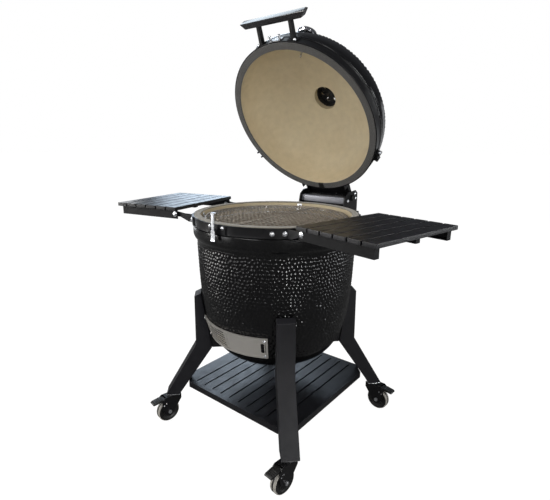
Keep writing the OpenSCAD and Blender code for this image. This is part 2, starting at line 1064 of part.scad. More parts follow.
at_rim() base_shell();
at_rim() base_gasket();
at_rim() base_band();
at_rim() base_bolts();
at_rim() firebox();
at_rim() fire_ring();
at_rim() charcoal_grate();
at_rim() grate_rack();
at_rim() grate_left();
at_rim() grate_right();
at_rim() draft_frame();
at_rim() draft_slider();
at_rim() latch_bracket();
at_rim() latch_lever();
at_rim() cradle_brackets();
at_rim() leg(0);  // leg_front_right
at_rim() leg(1);  // leg_back_right
at_rim() leg(2);  // leg_back_left
at_rim() leg(3);  // leg_front_left
at_axis() bottom_shelf();
at_rim() right_side() shelf_mount();  // shelf_mount_right
at_rim() right_side() shelf_frame();  // shelf_frame_right
at_rim() right_side() shelf_slats();  // shelf_slats_right
at_rim() left_side() shelf_mount();  // shelf_mount_left
at_rim() left_side() shelf_frame();  // shelf_frame_left
at_rim() left_side() shelf_slats();  // shelf_slats_left
at_rim() hinge_lower_bracket();
at_rim() hinge_shaft();
at_rim() hinge_springs();
at_rim() hinge_bar();
on_lid() hinge_upper_bracket();
on_lid() lid_shell();
on_lid() lid_gasket();
on_lid() lid_band();
on_lid() lid_bolts();
on_lid() lid_catch();
on_lid() handle_bar();
on_lid() handle_posts();
on_lid() thermometer_case();
on_lid() thermometer_glass();
on_lid() thermometer_needle();
on_lid() vent_base();
on_lid() vent_disc();
at_axis() caster_plates();
at_axis() caster_fork(0);  // caster_fork_1
at_axis() caster_wheel(0);  // caster_wheel_1
at_axis() caster_axle(0);  // caster_axle_1
at_axis() caster_pedal(0);  // caster_pedal_1
at_axis() caster_fork(1);  // caster_fork_2
at_axis() caster_wheel(1);  // caster_wheel_2
at_axis() caster_axle(1);  // caster_axle_2
at_axis() caster_pedal(1);  // caster_pedal_2
at_axis() caster_fork(2);  // caster_fork_3
at_axis() caster_wheel(2);  // caster_wheel_3
at_axis() caster_axle(2);  // caster_axle_3
at_axis() caster_pedal(2);  // caster_pedal_3
at_axis() caster_fork(3);  // caster_fork_4
at_axis() caster_wheel(3);  // caster_wheel_4
at_axis() caster_axle(3);  // caster_axle_4
at_axis() caster_pedal(3);  // caster_pedal_4
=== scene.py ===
import json
import math
import random

import bmesh
import bpy
import numpy as np
from mathutils import Matrix, Vector, kdtree


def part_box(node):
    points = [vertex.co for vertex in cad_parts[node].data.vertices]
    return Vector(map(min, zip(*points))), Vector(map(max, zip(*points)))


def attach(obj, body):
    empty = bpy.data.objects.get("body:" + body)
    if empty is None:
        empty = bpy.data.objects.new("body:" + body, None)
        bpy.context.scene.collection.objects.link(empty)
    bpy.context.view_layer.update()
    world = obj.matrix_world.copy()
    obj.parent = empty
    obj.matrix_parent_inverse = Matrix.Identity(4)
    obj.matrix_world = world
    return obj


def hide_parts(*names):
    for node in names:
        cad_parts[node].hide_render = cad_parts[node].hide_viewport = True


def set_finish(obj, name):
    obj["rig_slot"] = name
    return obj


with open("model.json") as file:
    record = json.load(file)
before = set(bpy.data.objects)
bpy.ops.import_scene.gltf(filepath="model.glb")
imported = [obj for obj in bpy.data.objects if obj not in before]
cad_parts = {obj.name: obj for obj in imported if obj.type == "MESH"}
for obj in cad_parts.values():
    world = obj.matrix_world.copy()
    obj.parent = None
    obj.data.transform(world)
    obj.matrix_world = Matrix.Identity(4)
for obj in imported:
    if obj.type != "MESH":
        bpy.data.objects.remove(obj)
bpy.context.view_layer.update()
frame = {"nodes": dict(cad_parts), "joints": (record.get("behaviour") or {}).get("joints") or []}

NODES = frame["nodes"]
JOINTS = {joint["name"]: joint for joint in frame["joints"]}


def shift(x, y, z):
    return Matrix.Translation((x, y, z))


def spin(degrees, axis):
    return Matrix.Rotation(math.radians(degrees), 4, axis)


# ---- places, worked out from the frame; shapes below are in millimetres ----

MM = 0.001
band_low, band_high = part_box("base_band")
AXIS_Y = (band_low.y + band_high.y) / 2
RIM_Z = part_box("base_gasket")[1].z
SHELL_LOW, SHELL_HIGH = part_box("base_shell")
RIM_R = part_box("base_gasket")[1].x / MM
COLLAR_R = SHELL_HIGH.x / MM
BAND_R = band_high.x / MM
BOWL_DEPTH = (RIM_Z - SHELL_LOW.z) / MM
WALL = 23
HINGE = Vector(JOINTS["lid_hinge"]["pos_m"])
LID_OPEN = -JOINTS["lid_hinge"]["range_deg"][0]

MILLIMETRES = Matrix.Diagonal((MM, MM, MM, 1))
RIM = shift(0, AXIS_Y, RIM_Z) @ MILLIMETRES
LID = shift(*HINGE) @ spin(-LID_OPEN, "X") @ shift(*-HINGE) @ RIM
HINGE_Y = (HINGE.y - AXIS_Y) / MM
HINGE_RISE = (HINGE.z - RIM_Z) / MM


# ---- finishes ----

WHITE = (1, 1, 1)


def add_node(tree, kind):
    return tree.nodes.new("ShaderNode" + kind)


def add_object(name, data):
    made = bpy.data.objects.new(name, data)
    bpy.context.scene.collection.objects.link(made)
    return made


class Finish:
    """A material with one Principled shader, its constants on the shader's own sockets."""

    def __init__(self, name, colour, **sockets):
        self.material = bpy.data.materials.new(name)
        self.material.use_nodes = True
        self.tree = self.material.node_tree
        self.shader = self.tree.nodes["Principled BSDF"]
        self.shader.inputs["Base Color"].default_value = (*colour, 1)
        for socket, value in sockets.items():
            self.shader.inputs[socket.replace("_", " ")].default_value = value

    def node(self, kind):
        return add_node(self.tree, kind)

    def link(self, source, socket):
        self.tree.links.new(source, socket)

    def noise(self, scale, detail, stretch=(1, 1, 1), kind="TexNoise"):
        """A texture in the object's own metres. stretch squeezes it along each axis."""
        place = self.node("TexCoord")
        mapping = self.node("Mapping")
        mapping.inputs["Scale"].default_value = stretch
        texture = self.node(kind)
        texture.inputs["Scale"].default_value = scale
        texture.inputs["Detail"].default_value = detail
        self.link(place.outputs["Object"], mapping.inputs["Vector"])
        self.link(mapping.outputs["Vector"], texture.inputs["Vector"])
        return texture.outputs[0]

    def ramp(self, source, low, high, to_low=0, to_high=1):
        """Takes the values from low to high to the values from to_low to to_high."""
        node = self.node("MapRange")
        for socket, value in zip(node.inputs[1:5], (low, high, to_low, to_high)):
            socket.default_value = value
        self.link(source, node.inputs["Value"])
        return node.outputs["Result"]

    def tint(self, source, low, high, colour_low, colour_high):
        """Mixes two colours by a texture, and multiplies them into the base colour if it has a texture."""
        share = self.ramp(source, low, high)
        mix = self.node("Mix")
        mix.data_type = "RGBA"
        mix.inputs[6].default_value = (*colour_low, 1)
        mix.inputs[7].default_value = (*colour_high, 1)
        self.link(share, mix.inputs[0])
        base = self.shader.inputs["Base Color"]
        if base.is_linked:
            blend = self.node("Mix")
            blend.data_type = "RGBA"
            blend.blend_type = "MULTIPLY"
            blend.inputs[0].default_value = 1
            self.link(base.links[0].from_socket, blend.inputs[6])
            self.link(mix.outputs[2], blend.inputs[7])
            mix = blend
        self.link(mix.outputs[2], base)

    def cloud(self, source, colour, dark, pale):
        """Varies a colour between a darker and a paler shade of it."""
        self.tint(source, 0.3, 0.7, *(tuple(c * shade for c in colour) for shade in (dark, pale)))

    def rough(self, source, low, high):
        self.link(self.ramp(source, 0.3, 0.7, low, high), self.shader.inputs["Roughness"])

    def bump(self, source, depth, strength):
        """Adds a bump of a depth in metres, after any bump that is there already."""
        node = self.node("Bump")
        node.inputs["Strength"].default_value = strength
        node.inputs["Distance"].default_value = depth
        self.link(source, node.inputs["Height"])
        normal = self.shader.inputs["Normal"]
        if normal.is_linked:
            self.link(normal.links[0].from_socket, node.inputs["Normal"])
        self.link(node.outputs["Normal"], normal)


def black_glaze():
    """Glossy black glaze, a little greyer in the valleys between the pebbles."""
    made = Finish("black_glaze", (0.012, 0.012, 0.013), Roughness=0.2, Specular_IOR_Level=0.32)
    relief = made.node("Attribute")
    relief.attribute_name = "relief"
    valley, pebble = (0.0045, 0.0045, 0.005), (0.0025, 0.0025, 0.003)
    made.tint(relief.outputs["Fac"], 0, 0.8, valley, pebble)
    made.tint(made.noise(9, 5), 0.35, 0.65, (0.75, 0.75, 0.75), WHITE)
    made.rough(made.noise(60, 4), 0.15, 0.25)
    made.bump(made.noise(420, 3), 0.00008, 0.3)
    return made.material


def ceramic(name, colour):
    """Unglazed refractory ceramic: matte, mottled and a little pink, with fine grain and specks."""
    made = Finish(name, colour, Roughness=0.85)
    pale = tuple(c * 1.05 for c in colour)
    pink = (colour[0] * 0.99, colour[1] * 0.96, colour[2] * 0.92)
    made.tint(made.noise(5.5, 3), 0.38, 0.66, pale, pink)
    made.tint(made.noise(45, 6), 0.3, 0.7, (0.90, 0.90, 0.90), WHITE)
    specks = made.noise(260, 0, kind="TexVoronoi")
    made.tint(specks, 0.05, 0.11, (0.62, 0.56, 0.48), WHITE)
    made.rough(made.noise(30, 4), 0.78, 0.93)
    made.bump(made.noise(900, 5), 0.0003, 0.5)
    made.bump(made.noise(70, 3), 0.0006, 0.25)
    return made.material


def felt(name, dark, pale):
    """Coarse woven heat-proof felt: crossed fibres and fuzz."""
    made = Finish(name, pale, Roughness=0.95, Sheen_Weight=0.35, Sheen_Roughness=0.5)
    fibres = made.noise(700, 6, (1, 1, 3))
    made.tint(fibres, 0.3, 0.7, dark, pale)
    made.tint(made.noise(28, 4), 0.3, 0.7, (0.82, 0.81, 0.79), WHITE)
    made.bump(fibres, 0.0011, 0.9)
    made.bump(made.noise(1500, 2), 0.0004, 0.6)
    return made.material


def powder_coat(name, colour, low, high, shine):
    """Powder-coated steel, its roughness between low and high: fine orange peel and faint cloudiness."""
    made = Finish(name, colour, Roughness=(low + high) / 2, Specular_IOR_Level=shine)
    made.cloud(made.noise(14, 5), colour, 0.85, 1.15)
    made.rough(made.noise(35, 5), low, high)
    made.bump(made.noise(1400, 2), 0.00012, 0.7)
    return made.material


def brushed(name, colour, low, high, stretch):
    """Brushed bare metal: long fine scratches along the axis that stretch leaves slack."""
    made = Finish(name, colour, Metallic=0.55, Roughness=(low + high) / 2)
    streaks = made.noise(1, 4, stretch)
    made.cloud(streaks, colour, 0.82, 1.1)
    made.rough(streaks, low, high)
    made.bump(streaks, 0.00005, 0.5)
    return made.material


def bright_metal(name, colour, low, high):
    """Plated metal: faint cloudy stains and tiny scratches."""
    made = Finish(name, colour, Metallic=1.0, Roughness=low)
    made.cloud(made.noise(130, 4), colour, 0.85, 1)
    made.rough(made.noise(240, 5), low, high)
    made.bump(made.noise(900, 3), 0.00003, 0.4)
    return made.material


def satin_metal():
    """Dark satin metal with a clear coat that shines at a low angle."""
    made = Finish("handle_metal", (0.012, 0.011, 0.012), Roughness=0.3, Coat_Weight=1.0, Coat_Roughness=0.12)
    made.tint(made.noise(14, 5), 0.3, 0.7, (0.009, 0.008, 0.009), (0.015, 0.014, 0.015))
    made.rough(made.noise(60, 5), 0.22, 0.32)
    made.bump(made.noise(1100, 2), 0.00004, 0.5)
    return made.material


def cast_iron():
    """Dark cast iron with a sandy skin."""
    made = Finish("cast_iron", (0.022, 0.021, 0.020), Metallic=0.35, Roughness=0.6)
    made.tint(made.noise(60, 5), 0.35, 0.65, (0.018, 0.017, 0.017), (0.034, 0.031, 0.029))
    made.rough(made.noise(90, 4), 0.5, 0.75)
    made.bump(made.noise(650, 4), 0.0005, 0.7)
    return made.material


def moulded(name, colour, low, high):
    """Moulded rubber or plastic with a fine spark-eroded grain."""
    made = Finish(name, colour, Roughness=low, Specular_IOR_Level=0.3)
    made.cloud(made.noise(80, 4), colour, 0.8, 1.15)
    made.rough(made.noise(120, 3), low, high)
    made.bump(made.noise(1800, 2), 0.00015, 0.5)
    return made.material


def clear_glass():
    """Clear glass with a trace of smears."""
    made = Finish("clear_glass", (0.93, 0.96, 0.97), Roughness=0.03, Transmission_Weight=1.0, IOR=1.46)
    made.rough(made.noise(150, 3), 0.02, 0.06)
    return made.material


GLAZE = black_glaze()
CREAM = ceramic("cream_ceramic", (0.60, 0.515, 0.345))
# The cream ceramic again, painted far darker: painted shade for the fire ring and firebox under the grate,
# where little light gets in.
CREAM_SHADED = ceramic("cream_painted_shade", (0.12, 0.085, 0.05))
FELT_DARK = felt("felt_dark", (0.034, 0.032, 0.030), (0.066, 0.063, 0.058))
FELT_PALE = felt("felt_pale", (0.17, 0.155, 0.125), (0.30, 0.28, 0.23))
BLACK = powder_coat("black_steel", (0.006, 0.006, 0.007), 0.28, 0.42, 0.18)
CHARCOAL = powder_coat("charcoal_steel", (0.010, 0.010, 0.013), 0.46, 0.60, 0.14)
SLAT = powder_coat("slat_steel", (0.008, 0.008, 0.010), 0.30, 0.42, 0.24)
DULL = powder_coat("dull_steel", (0.007, 0.007, 0.008), 0.50, 0.64, 0.10)
HANDLE = satin_metal()
STAINLESS = brushed("stainless", (0.44, 0.425, 0.40), 0.36, 0.50, (12, 12, 2600))
BAR_STEEL = brushed("bar_steel", (0.21, 0.215, 0.24), 0.40, 0.54, (8, 1800, 1800))
ZINC = bright_metal("zinc", (0.58, 0.59, 0.61), 0.22, 0.36)
LEVER = bright_metal("lever_steel", (0.36, 0.37, 0.39), 0.30, 0.44)
CHROME = bright_metal("chrome", (0.74, 0.74, 0.76), 0.05, 0.12)
WIRE = bright_metal("wire_steel", (0.27, 0.24, 0.20), 0.50, 0.66)
IRON = cast_iron()
RUBBER = moulded("rubber_black", (0.006, 0.006, 0.006), 0.4, 0.55)
TREAD = moulded("tread_grey", (0.36, 0.345, 0.315), 0.5, 0.65)
DIAL = moulded("dial_white", (0.72, 0.71, 0.67), 0.35, 0.5)
DIAL_INK = moulded("dial_ink", (0.02, 0.02, 0.02), 0.4, 0.5)
NEEDLE = moulded("needle_red", (0.42, 0.03, 0.02), 0.3, 0.4)
GLASS = clear_glass()


# ---- mesh helpers ----

def placed(points, place):
    matrix = np.array(place)
    return points @ matrix[:3, :3].T + matrix[:3, 3]


def build(name, solid, place, body, slot_name, materials, replaces=(), smooth=40, relief=None):
    """One piece of the object from a Shape or (vertices, faces), in millimetres, put in the frame by place.
    Edges sharper than smooth degrees stay sharp."""
    if not isinstance(solid, Shape):
        solid = Shape(solid)
    mesh = bpy.data.meshes.new(name)
    mesh.from_pydata(placed(np.array(solid.verts), place).tolist(), [], solid.faces)
    for made in materials:
        mesh.materials.append(made)
    mesh.polygons.foreach_set("material_index", np.asarray(solid.indices, np.int32))
    if relief is not None:
        layer = mesh.attributes.new("relief", "FLOAT", "POINT")
        layer.data.foreach_set("value", np.asarray(relief, np.float32))
    bm = bmesh.new()
    bm.from_mesh(mesh)
    bmesh.ops.recalc_face_normals(bm, faces=bm.faces)
    for face in bm.faces:
        face.smooth = True
    sharp = math.radians(smooth)
    for edge in bm.edges:
        if len(edge.link_faces) == 2 and edge.calc_face_angle(0.0) > sharp:
            edge.smooth = False
    bm.to_mesh(mesh)
    bm.free()
    made = add_object(name, mesh)
    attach(made, body)
    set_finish(made, slot_name)
    if replaces:
        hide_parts(*replaces)
    return made


class Shape:
    """Vertices and faces gathered from solids, each with its own material index."""

    def __init__(self, solid=((), ())):
        self.verts, self.faces, self.indices = [], [], []
        self.add(solid)

    def add(self, solid, place=Matrix.Identity(4), index=0):
        verts, faces = solid
        start = len(self.verts)
        self.verts.extend(placed(np.asarray(verts, float).reshape(-1, 3), place).tolist())
        self.faces.extend([[start + i for i in f] for f in faces])
        self.indices.extend([index] * len(faces))


def rounded(points, radius, steps=3):
    """A closed outline with each corner turned into a short curve."""
    out = []
    count = len(points)
    for i, point in enumerate(points):
        here = Vector(point)
        before, after = Vector(points[i - 1]) - here, Vector(points[(i + 1) % count]) - here
        reach = min(radius, 0.45 * before.length, 0.45 * after.length)
        if before.normalized().dot(after.normalized()) < -0.999 or reach < 1e-6:
            out.append(tuple(here))
            continue
        a, b = here + before.normalized() * reach, here + after.normalized() * reach
        for k in range(steps + 1):
            t = k / steps
            out.append(tuple(a * (1 - t) ** 2 + here * 2 * t * (1 - t) + b * t * t))
    return out


def lathe(outline, around=96, start=0.0, sweep=360.0):
    """Turns an outline of (radius, height) about Z, from -Y towards +X. Points on the axis become poles."""
    whole = sweep > 359.9
    columns = around if whole else around + 1
    angles = [math.radians(start + sweep * j / around) for j in range(columns)]
    verts, rows = [], []
    for r, z in outline:
        if abs(r) < 1e-6:
            rows.append([len(verts)] * columns)
            verts.append((0, 0, z))
        else:
            rows.append(list(range(len(verts), len(verts) + columns)))
            verts.extend((r * math.sin(a), -r * math.cos(a), z) for a in angles)
    faces = []
    last = columns if whole else columns - 1
    for i, row in enumerate(rows):
        other = rows[(i + 1) % len(rows)]
        for j in range(last):
            k = (j + 1) % columns
            corners = list(dict.fromkeys((row[j], row[k], other[k], other[j])))
            if len(corners) > 2:
                faces.append(corners)
    if not whole:
        faces.append([row[0] for row in rows])
        faces.append([row[-1] for row in reversed(rows)])
    return verts, faces


def prism(outline, low, high, axis="Z", bevel=0.6, segments=2):
    """An outline pushed along an axis from low to high, with its sharp edges rounded. The outline is in the
    other two axes, in the order X, Y, Z."""
    bm = bmesh.new()
    across = "XYZ".index(axis)
    push = [0, 0, 0]
    push[across] = high - low
    face = bm.faces.new([bm.verts.new([*p[:across], low, *p[across:]]) for p in outline])
    side = bmesh.ops.extrude_face_region(bm, geom=[face])
    bmesh.ops.translate(bm, verts=[v for v in side["geom"] if isinstance(v, bmesh.types.BMVert)], vec=push)
    return softened(bm, bevel, segments, 0.5)


def softened(bm, bevel, segments, profile):
    """Rounds a solid's sharp edges and gives its vertices and faces."""
    bmesh.ops.recalc_face_normals(bm, faces=bm.faces)
    edges = [e for e in bm.edges if e.calc_face_angle(0.0) > math.radians(25)]
    bmesh.ops.bevel(
        bm, geom=edges, offset=bevel, segments=segments, profile=profile, affect="EDGES", clamp_overlap=True,
    )
    bm.verts.index_update()
    verts = [tuple(v.co) for v in bm.verts]
    faces = [[v.index for v in f.verts] for f in bm.faces]
    bm.free()
    return verts, faces


def slab(low, high, bevel=0.6, segments=2):
    (x0, y0, z0), (x1, y1, z1) = low, high
    return prism([(x0, y0), (x1, y0), (x1, y1), (x0, y1)], z0, z1, "Z", bevel, segments)


def rod(a, b, radius, sides=12):
    """A straight round bar between two points, with closed ends."""
    a, b = Vector(a), Vector(b)
    length = (b - a).length
    turn = (b - a).to_track_quat("Z", "Y").to_matrix().to_4x4()
    chamfer = min(radius * 0.25, length * 0.2)
    outline = [
        (0, 0), (radius - chamfer, 0), (radius, chamfer),
        (radius, length - chamfer), (radius - chamfer, length), (0, length),
    ]
    verts, faces = lathe(outline, sides)
    place = Matrix.Translation(a) @ turn
    return [tuple(place @ Vector(v)) for v in verts], faces


def pipe(path, radius, sides=10, closed=False):
    """A tube swept along a list of points, its rings turned as little as possible from one to the next."""
    points = [Vector(p) for p in path]
    count = len(points)
    verts, faces = [], []
    normal = None
    for i, point in enumerate(points):
        before = points[i - 1] if closed or i else point
        after = points[(i + 1) % count] if closed or i < count - 1 else point
        tangent = (after - before).normalized()
        if normal is None:
            normal = tangent.orthogonal().normalized()
        normal = (normal - tangent * normal.dot(tangent)).normalized()
        side = tangent.cross(normal)
        for k in range(sides):
            angle = 2 * math.pi * k / sides
            verts.append(tuple(point + (normal * math.cos(angle) + side * math.sin(angle)) * radius))
    rings = count if closed else count - 1
    for i in range(rings):
        base, other = i * sides, ((i + 1) % count) * sides
        for k in range(sides):
            m = (k + 1) % sides
            faces.append([base + k, base + m, other + m, other + k])
    if not closed:
        faces.append(list(range(sides))[::-1])
        faces.append([(count - 1) * sides + k for k in range(sides)])
    return verts, faces


def outwards(angle, r, z):
    """Stands +Z outwards at an angle from the front, in degrees towards +X, at a radius and a height."""
    return spin(angle, "Z") @ shift(0, -r, z) @ spin(90, "X")


def screw_head(r, h, washer=True):
    """A domed head of a radius and height with a hexagon socket, on a thin washer."""
    around = 24
    rows = [(0.0, 0.0)]
    if washer:
        rows += [(r * 1.3, 0.0), (r * 1.3, 0.7), (r, 0.9)]
    rows += [(r, h * 0.45), (r * 0.92, h * 0.75), (r * 0.72, h * 0.95), (r * 0.5, h)]
    socket = [(r * 0.45, h), (r * 0.45, h * 0.45), (0.0, h * 0.45)]
    verts, faces = lathe(rows + socket, around)
    # The two socket rings become hexagons
    total = len(verts)
    for start in (total - 1 - 2 * around, total - 1 - around):
        for j in range(around):
            x, y, z = verts[start + j]
            angle = math.atan2(y, x)
            wedge = (angle + math.radians(30)) % math.radians(60) - math.radians(30)
            scale = math.cos(math.radians(30)) / math.cos(wedge)
            verts[start + j] = (x * scale, y * scale, z)
    return verts, faces


def hex_nut(across, height):
    """A hexagon nut or hexagon body with chamfered corners."""
    r = across / 2 / math.cos(math.radians(30))
    bm = bmesh.new()
    verts, faces = lathe([(0, 0), (r, 0), (r, height), (0, height)], 6)
    made = [bm.verts.new(v) for v in verts]
    for f in faces:
        bm.faces.new([made[i] for i in f])
    return softened(bm, min(height, 8) * 0.12, 2, 0.6)


# ---- glazed shells with their pebbled relief ----

PEBBLE = 13.0  # from one pebble to the next
PEBBLE_DEPTH = 3.2
PEBBLE_FADE = 7  # from the smooth edge to full depth
PEBBLE_RINGS = 2.65  # from one ring of vertices to the next
COARSE, DENSE = 160, 640  # vertices round a smooth ring and round a pebbled one
NECK_R, NECK_Z = RIM_R - 8, -89
BELLY_TAPER = 14
FOOT_Z = -440  # the bowl is smooth below this
TEXTURE_MIDDLE = -250
DOME_FOOT, DOME_TOP, VENT_R = 44, 205, 44
DOME_POWER = 0.952  # a little squarer than an ellipse
DOME_SMOOTH_Z = 82
VENT_SMOOTH_R = 70
DIAL_PLACE = shift(0, -215, 153.6) @ spin(33.4, "X")
DIAL_LIFT = 11
DIAL_BORE = 10


def belly_r(t, neck):
    """The belly's radius at a share of its depth, below a neck of a given radius."""
    return (neck - BELLY_TAPER * t) * (1 - t ** 3.6) ** 0.2


def resampled(points, pitch):
    """Points along a line at an even pitch, its first and last points kept."""
    lengths = [0.0]
    for a, b in zip(points, points[1:]):
        lengths.append(lengths[-1] + math.dist(a, b))
    stops = np.linspace(0, lengths[-1], max(1, round(lengths[-1] / pitch)) + 1)
    return list(zip(*(np.interp(stops, lengths, values).tolist() for values in zip(*points))))


def turned(rows):
    """A closed shell from rings of (radius, height, columns), and each ring's first vertex. A ring has as
    many columns as the next, or a whole number of times more or fewer, or one where it is a pole."""
    verts, starts, faces = [], [], []
    total = 0
    for r, z, n in rows:
        starts.append(total)
        angles = np.arange(n) * (2 * math.pi / n)
        verts.append(np.column_stack([r * np.sin(angles), -r * np.cos(angles), np.full(n, float(z))]))
        total += n
    for i, (_, _, n) in enumerate(rows):
        k = (i + 1) % len(rows)
        m, a, b = rows[k][2], starts[i], starts[k]
        if n == m == 1:
            continue
        if n < m:
            n, m, a, b = m, n, b, a
        if m == 1:
            faces.extend([a + j, a + (j + 1) % n, b] for j in range(n))
            continue
        q = n // m
        for j in range(m):
            faces.append([a + (q * j + s) % n for s in range(q + 1)] + [b + (j + 1) % m, b + j])
    return np.vstack(verts), faces, starts


def pebbled(verts, rows, starts, textured, seed):
    """Pushes some rings out into pebbles: rows of round bumps, each row half a bump on from the last, all a
    little uneven. Returns the relief of every vertex, from 0 in a valley to 1 on a bump."""
    chance = random.Random(seed)
    line = [(rows[i][0], rows[i][1]) for i in textured]
    seeds = []
    for i, (r, z) in enumerate(resampled(line, PEBBLE * 0.87)):
        count = max(6, round(2 * math.pi * r / PEBBLE))
        offset = 0.5 * (i % 2) + chance.uniform(-0.12, 0.12)
        for j in range(count):
            angle = 2 * math.pi * (j + offset + chance.uniform(-0.27, 0.27)) / count
            rise = chance.uniform(-0.25, 0.25) * PEBBLE
            seeds.append((r * math.sin(angle), -r * math.cos(angle), z + rise))
    tree = kdtree.KDTree(len(seeds))
    for i, point in enumerate(seeds):
        tree.insert(point, i)
    tree.balance()
    relief = np.zeros(len(verts))
    walked = [0.0]
    for a, b in zip(line, line[1:]):
        walked.append(walked[-1] + math.dist(a, b))
    for place, i in enumerate(textured):
        r, z, n = rows[i]
        before, after = line[max(place - 1, 0)], line[min(place + 1, len(line) - 1)]
        tangent = Vector((after[0] - before[0], after[1] - before[1])).normalized()
        normal = Vector((-tangent.y, tangent.x))
        if normal.x * r + normal.y * (z - TEXTURE_MIDDLE) < 0:
            normal = -normal
        strength = min(1.0, walked[place] / PEBBLE_FADE, (walked[-1] - walked[place]) / PEBBLE_FADE)
        for j in range(starts[i], starts[i] + n):
            (_, _, first), (_, _, second) = tree.find_n(verts[j], 2)
            height = math.cos(math.pi / 2 * min(1.0, 2 * first / (first + second)))
            push = (height - 0.45) * PEBBLE_DEPTH * strength
            relief[j] = height * strength
            verts[j, :2] *= 1 + normal.x * push / r
            verts[j, 2] += normal.y * push
    return relief


def cut(piece, solid, place):
    """Takes a solid away from a piece for good."""
    cutter = build("cutter", solid, place, "stand", piece["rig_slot"], [CREAM], smooth=60)
    step = piece.modifiers.new("cut", "BOOLEAN")
    step.object, step.operation, step.solver = cutter, "DIFFERENCE", "MANIFOLD"
    graph = bpy.context.evaluated_depsgraph_get()
    result = bpy.data.meshes.new_from_object(piece.evaluated_get(graph))
    piece.modifiers.clear()
    piece.data = result
    bpy.data.objects.remove(cutter)


def paint(piece, place, outline):
    """Slot 0, the glaze, on the faces within 6 mm of an outline of the outside, and slot 1 on the rest."""
    middles = np.zeros(len(piece.data.polygons) * 3)
    piece.data.polygons.foreach_get("center", middles)
    middles = placed(middles.reshape(-1, 3), place.inverted())
    curve = np.array(resampled(outline, 2.0))
    radii = np.hypot(middles[:, 0], middles[:, 1])
    off = [np.min(np.hypot(curve[:, 0] - r, curve[:, 1] - z)) for r, z in zip(radii, middles[:, 2])]
    piece.data.polygons.foreach_set("material_index", (np.array(off) > 6).astype(np.int32))


def glazed(name, rows, span, seed, place, body, node):
    """A shell from its rings, with the rings of a span pebbled."""
    verts, faces, starts = turned(rows)
    relief = pebbled(verts, rows, starts, span, seed)
    return build(name, (verts, faces), place, body, "black_glaze", [GLAZE, CREAM], [node], 50, relief)


def bowl():
    """The ceramic bowl: a smooth glazed collar, a pebbled belly, a smooth foot, and a bare ceramic inside."""
    outer = [
        (belly_r(t, NECK_R), NECK_Z - (BOWL_DEPTH + NECK_Z) * t)
        for t in (0.99 * math.sin(math.radians(90 * i / 60)) for i in range(61))
    ]
    inner_low = WALL + 6 - BOWL_DEPTH
    inner = [
        (belly_r(t, NECK_R - WALL), NECK_Z + (inner_low - NECK_Z) * t)
        for t in (0.99 * math.sin(math.radians(90 * i / 24)) for i in range(25))
    ]
    collar = rounded([
        (RIM_R - WALL, -4), (RIM_R, -4), (RIM_R, -34), (COLLAR_R, -35.5), (COLLAR_R, -62),
        (COLLAR_R - 4, -72), (NECK_R + 1.5, -80), outer[0],
    ], 1.5)
    belly = [p for p in outer if p[1] > FOOT_Z]
    foot = [p for p in outer if p[1] <= FOOT_Z]
    textured = resampled(belly, PEBBLE_RINGS)
    rows = [(0, inner_low, 1)]
    rows += [(r, z, COARSE) for r, z in reversed(inner)]
    rows += [(r, z, COARSE) for r, z in collar[:-1]]
    first = len(rows)
    rows += [(r, z, DENSE) for r, z in textured]
    span = range(first, len(rows))
    rows += [(r, z, COARSE) for r, z in resampled([textured[-1]] + foot, 9)[1:]]
    rows += [(120, -BOWL_DEPTH + 1.5, COARSE), (112, -BOWL_DEPTH, COARSE), (0, -BOWL_DEPTH, 1)]
    piece = glazed("bowl", rows, span, 11, RIM, "stand", "base_shell")
    air_inlet = lathe([(150, -422), (300, -422), (300, -360), (150, -360)], 24, -30, 25)
    cut(piece, air_inlet, RIM)
    paint(piece, RIM, collar[len(collar) // 4:] + outer + [(0, -BOWL_DEPTH)])


def dome_line(foot_r, top, steps):
    """The dome's outline of (radius, height) from its foot up to the vent's hole."""
    end = math.acos((VENT_R / foot_r) ** (1 / DOME_POWER))
    return [
        (foot_r * math.cos(a) ** DOME_POWER, DOME_FOOT + (top - DOME_FOOT) * math.sin(a) ** DOME_POWER)
        for a in (end * i / steps for i in range(steps + 1))
    ]


def lid():
    """The ceramic dome: bare inside, pebbled glaze outside from its collar up to the vent's flange."""
    outer = dome_line(COLLAR_R, DOME_TOP, 90)
    inner = dome_line(COLLAR_R - WALL - 4, DOME_TOP - WALL, 40)
    collar = rounded([
        (RIM_R - WALL, 4.5), (RIM_R, 4.5), (RIM_R, 34), (COLLAR_R, 35.5), (COLLAR_R, DOME_FOOT),
    ], 1.5)
    smooth_side = [p for p in outer if p[1] < DOME_SMOOTH_Z]
    textured_side = [p for p in outer if p[1] >= DOME_SMOOTH_Z and p[0] > VENT_SMOOTH_R]
    top = [p for p in outer if p[0] <= VENT_SMOOTH_R]
    rows = [(r, z, COARSE) for r, z in collar]
    rows += [(r, z, COARSE) for r, z in resampled(smooth_side[1:], 6)]
    first = len(rows)
    rows += [(r, z, DENSE if r > 170 else DENSE // 2) for r, z in resampled(textured_side, PEBBLE_RINGS)]
    span = range(first, len(rows))
    rows += [(r, z, COARSE) for r, z in resampled(top, 6)]
    rows += [(r, z, COARSE) for r, z in reversed(inner)]
    piece = glazed("dome", rows, span, 23, LID, "lid", "lid_shell")
    cut(piece, lathe([(0, -60), (DIAL_BORE, -60), (DIAL_BORE, 40), (0, 40)], 48), LID @ DIAL_PLACE)
    paint(piece, LID, collar[len(collar) // 4:] + outer)


# ---- rings round the shells ----

